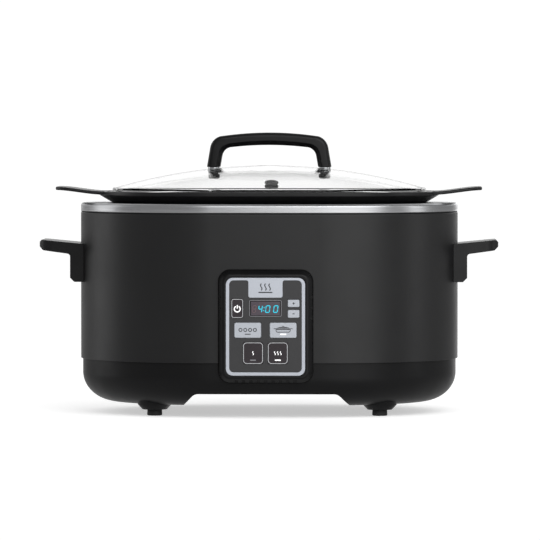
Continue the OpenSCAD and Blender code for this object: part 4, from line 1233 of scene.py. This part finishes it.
def make_lid():
    steps = 48
    edge, foot = mm(1.7, 1.3)
    last = 1 - edge / LID_R
    loops = [stadium(LID_R, dome_z(last * i / steps), last * i / steps) for i in range(1, steps + 1)]
    for i in range(1, 9):
        a = math.pi / 2 * i / 8
        z = dome_z(last) - edge * 0.75 * (1 - math.cos(a))
        loops.append(stadium(LID_R - edge + edge * math.sin(a), z))
    for i in range(9):
        a = math.pi / 2 * i / 8
        loops.append(stadium(LID_R - foot + foot * math.cos(a), LID_LOW.z + foot - foot * math.sin(a)))
    bead = 0.95
    loops.append(stadium(LID_R, LID_LOW.z, bead))
    for i in range(steps, 0, -1):
        loops.append(stadium(LID_R, dome_z(bead * i / steps) - GLASS_T, bead * i / steps))
    lid = loft("glass_lid", loops, angle=50)
    cutters = []
    post_r, hole_r = BUSHING_R + 0.1 * MM, 4.5 * MM
    for side in (-1, 1):
        post = Matrix.Translation((side * LEG_X, 0, 0))
        cutters.append(turned("cutter", [(post_r, 0.2), (post_r, 0.3)], post))
    cutters.append(turned("cutter", [(hole_r, -0.02), (hole_r, 0.02)], vent_place(), sides=32))
    combine(lid, cutters, angle=50)
    return finish_piece(lid, "lid", "lid_glass", "lid_glass")


WASHER_HIGH = box("lid_handle_washers")[1]
WASHER_R = 6 * MM
BUSHING_R = 4.4 * MM
LEG_X = WASHER_HIGH.x - WASHER_R
LEG_Z = WASHER_HIGH.z


def vent_place():
    """Places a part square to the glass at the steam vent."""
    part = 0.84
    tilt = math.atan(2 * DOME_RISE * part / LID_R)
    return Matrix.Translation((0, part * LID_R, dome_z(part))) @ Matrix.Rotation(-tilt, 4, "X")


def make_vent():
    hole, neck, flange, thick = mm(2, 4.2, 7.2, 2)
    top, under = 0.15 * MM, -GLASS_T - 0.25 * MM
    corners = [
        (hole, under - thick), (flange, under - thick), (flange, under), (neck, under),
        (neck, top), (flange, top), (flange, top + thick), (hole, top + thick),
    ]
    radii = mm(0.4, 0.9, 0.3, 0.3, 0.3, 0.3, 0.9, 0.6)
    vent = turned("steam_vent", rounded(corners, radii, steps=5), vent_place(), ring=True)
    return finish_piece(vent, "lid", "silicone_black", "vent_grommet")


def handle_loop(outer, inner, depth):
    """A cross-section of the grip between a point on its outer line and one on its inner line."""
    across = Vector((outer[0] - inner[0], 0, outer[1] - inner[1]))
    t = across.length
    across.normalize()
    slope, tuck = mm(4.6, 3)
    half = depth / 2
    outline = rounded([
        (tuck - half, 0), (half - tuck, 0), (half, slope), (half, t), (-half, t), (-half, slope),
    ], mm(1.6, 1.6, 1.2, 4.6, 4.6, 1.2), steps=5)
    foot = Vector((inner[0], 0, inner[1]))
    return [foot + Vector((0, p.x, 0)) + across * p.y for p in outline]


def make_lid_handle():
    low, high = box("lid_handle")
    top_z = high.z
    thick, depth = 12.8 * MM, high.y - low.y
    sag, corner, leg_half = mm(3.5, 14.5, 6.8)
    inner_corner = corner - 4 * MM
    corner_x = LEG_X + leg_half - 3.1 * MM - corner
    inner_x = LEG_X - leg_half - 1.8 * MM - inner_corner

    def line(x):
        return top_z - sag * (x / (LEG_X - 8.7 * MM)) ** 2

    steps = 14
    outer, inner = [], []
    for i in range(steps + 1):
        outer.append((corner_x * i / steps, line(corner_x * i / steps)))
        inner.append((inner_x * i / steps, line(inner_x * i / steps) - thick))
    for i in range(1, 13):
        share = i / 12
        a = math.radians(82 - 73 * share)
        outer.append((corner_x + corner * math.cos(a), line(corner_x) - corner + corner * math.sin(a)))
        b = math.radians(88 - 80 * share)
        inner_z = line(inner_x) - thick - inner_corner
        inner.append((inner_x + inner_corner * math.cos(b), inner_z + inner_corner * math.sin(b)))
    for ends, x in ((outer, LEG_X + leg_half), (inner, LEG_X - leg_half)):
        at = ends[-1]
        ends += [(at[0] + (x - at[0]) * i / 8, at[1] + (LEG_Z - at[1]) * i / 8) for i in range(1, 9)]
    half = [handle_loop(a, b, depth) for a, b in zip(outer, inner)]
    mirror_half = [[Vector((-p.x, p.y, p.z)) for p in one] for one in half[:0:-1]]
    grip = loft("lid_grip", mirror_half + half, angle=45)
    weight_normals(grip)
    return finish_piece(grip, "lid", "handle_plastic", "lid_handle")


def at_legs(name, section):
    """The same turned piece under both legs of the lid's handle."""
    places = [Matrix.Translation((side * LEG_X, 0, 0)) for side in (-1, 1)]
    return join(name, [turned("part", section, place, ring=True, sides=48) for place in places])


def make_lid_fittings():
    hole = 2.3 * MM
    low_z = dome_z((LEG_X + WASHER_R) / LID_HALF_X)
    low_z += 0.05 * MM
    corners = [(hole, low_z), (WASHER_R, low_z), (WASHER_R, LEG_Z), (hole, LEG_Z)]
    washers = at_legs("handle_washers", rounded(corners, mm(0, 0.3, 0.5, 0), steps=4))
    finish_piece(washers, "lid", "washer_steel", "lid_handle_washers")
    low, high = box("lid_handle_bosses")
    r = high.x - LEG_X
    seat = low.z + 3 * MM
    glass_under = dome_z((LEG_X + r) / LID_HALF_X) - GLASS_T - 0.2 * MM
    socket = 4.1 * MM
    corners = [
        (socket, low.z), (r, low.z), (r, glass_under), (BUSHING_R, glass_under),
        (BUSHING_R, high.z), (hole, high.z), (hole, seat), (socket, seat),
    ]
    bosses = at_legs("handle_bosses", rounded(corners, mm(0.5, 2.2, 0.4, 0.2, 0.3, 0, 0, 0), steps=6))
    finish_piece(bosses, "lid", "silicone_black", "lid_handle_bosses")


# ---------------------------------------------------------------- inside

def make_well():
    low, high = box("heating_well")
    r = high.y - 12 * MM - SHEET
    opening = 54 * MM
    top = high.z
    corners = [
        (opening, low.z), (r + SHEET, low.z), (r + SHEET, top - SHEET), (high.y, top - SHEET), (high.y, top),
        (r, top), (r, low.z + SHEET), (opening, low.z + SHEET),
    ]
    radii = mm(0, 4, 1, 0.3, 0.3, 2, 3, 0)
    well = oval("warming_well", rounded(corners, radii, steps=7), ring=True, angle=50)
    return finish_piece(well, "housing", "well_metal", "heating_well")


def make_sensor():
    low, high = box("temperature_sensor")
    r, cap = high.y, 2.7 * MM
    stem = 3.5 * MM
    core = 0.5 * MM
    under = high.z - cap
    corners = [(core, low.z), (stem, low.z), (stem, under), (r, under), (r, high.z), (core, high.z)]
    section = rounded(corners, mm(0, 0.5, 0.4, 0.4, 1.1, 0), closed=False, steps=6)
    return finish_piece(turned("sensor_button", section), "sensor", "sensor_steel", "temperature_sensor")


def make_spring():
    low, high = box("sensor_spring")
    wire = 0.6 * MM
    r = high.x - wire
    turns, steps, sides = 6, 40, 14
    loops = []
    for i in range(turns * steps + 1):
        a = math.tau * i / steps
        out = Vector((math.cos(a), math.sin(a), 0))
        z = low.z + wire + (high.z - low.z - 2 * wire) * i / (turns * steps)
        loops.append([
            out * (r + wire * math.cos(b)) + Vector((0, 0, z + wire * math.sin(b)))
            for b in [math.tau * k / sides for k in range(sides)]
        ])
    spring = finish_piece(loft("sensor_coil", loops, angle=60), "housing", "fastener_steel", "sensor_spring")
    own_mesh(spring)


def make_gland():
    low, high = box("cord_gland")
    x, z = (low.x + high.x) / 2, (low.z + high.z) / 2
    wall_y = box("base_housing")[1].y
    bore, neck = mm(3.8, 5)
    back = low.y - wall_y
    tip = high.y - wall_y
    section = [(bore, back), (6.4 * MM, back)]
    section += [(r * MM, y * MM) for r, y in (
        (6.4, -3.1), (4.9, -3.1), (4.9, 0.1), (6.9, 0.1), (6.9, 2.2), (6.5, 2.6))]
    ribs = 4
    pitch = (tip - 3.2 * MM) / ribs
    for i in range(ribs):
        at = 3.0 * MM + pitch * i
        r = neck + (0.8 - 0.8 * i / ribs) * MM
        groove = r - 0.7 * MM
        section += [(groove, at), (groove, at + 0.35 * pitch), (r, at + 0.4 * pitch), (r, at + 0.92 * pitch)]
    section += [(neck, tip - 0.4 * MM), (neck - 0.3 * MM, tip), (bore, tip)]
    place = Matrix.Translation((x, wall_y, z)) @ Matrix.Rotation(-math.pi / 2, 4, "X")
    gland = turned("cord_boot", section, place, ring=True, angle=30)
    return finish_piece(gland, "housing", "foot_rubber", "cord_gland")


def dress_frame():
    """Gives every CAD node that still shows the look of its slot."""
    slots = {part["node"]: part["material_slot"] for part in frame["record"]["subparts"]}
    for name, node in frame["nodes"].items():
        if not node.hide_render:
            dress(node, LOOKS[slots[name]])


for make in (
    make_shell, make_collar, make_shadow_gap_seal, make_base, make_feet, make_side_handles, make_bezel, make_trim,
    make_keys, make_display, make_crest_mark, make_pot, make_lid, make_vent, make_lid_handle,
    make_lid_fittings, make_well, make_sensor, make_spring, make_gland, dress_frame,
):
    make()
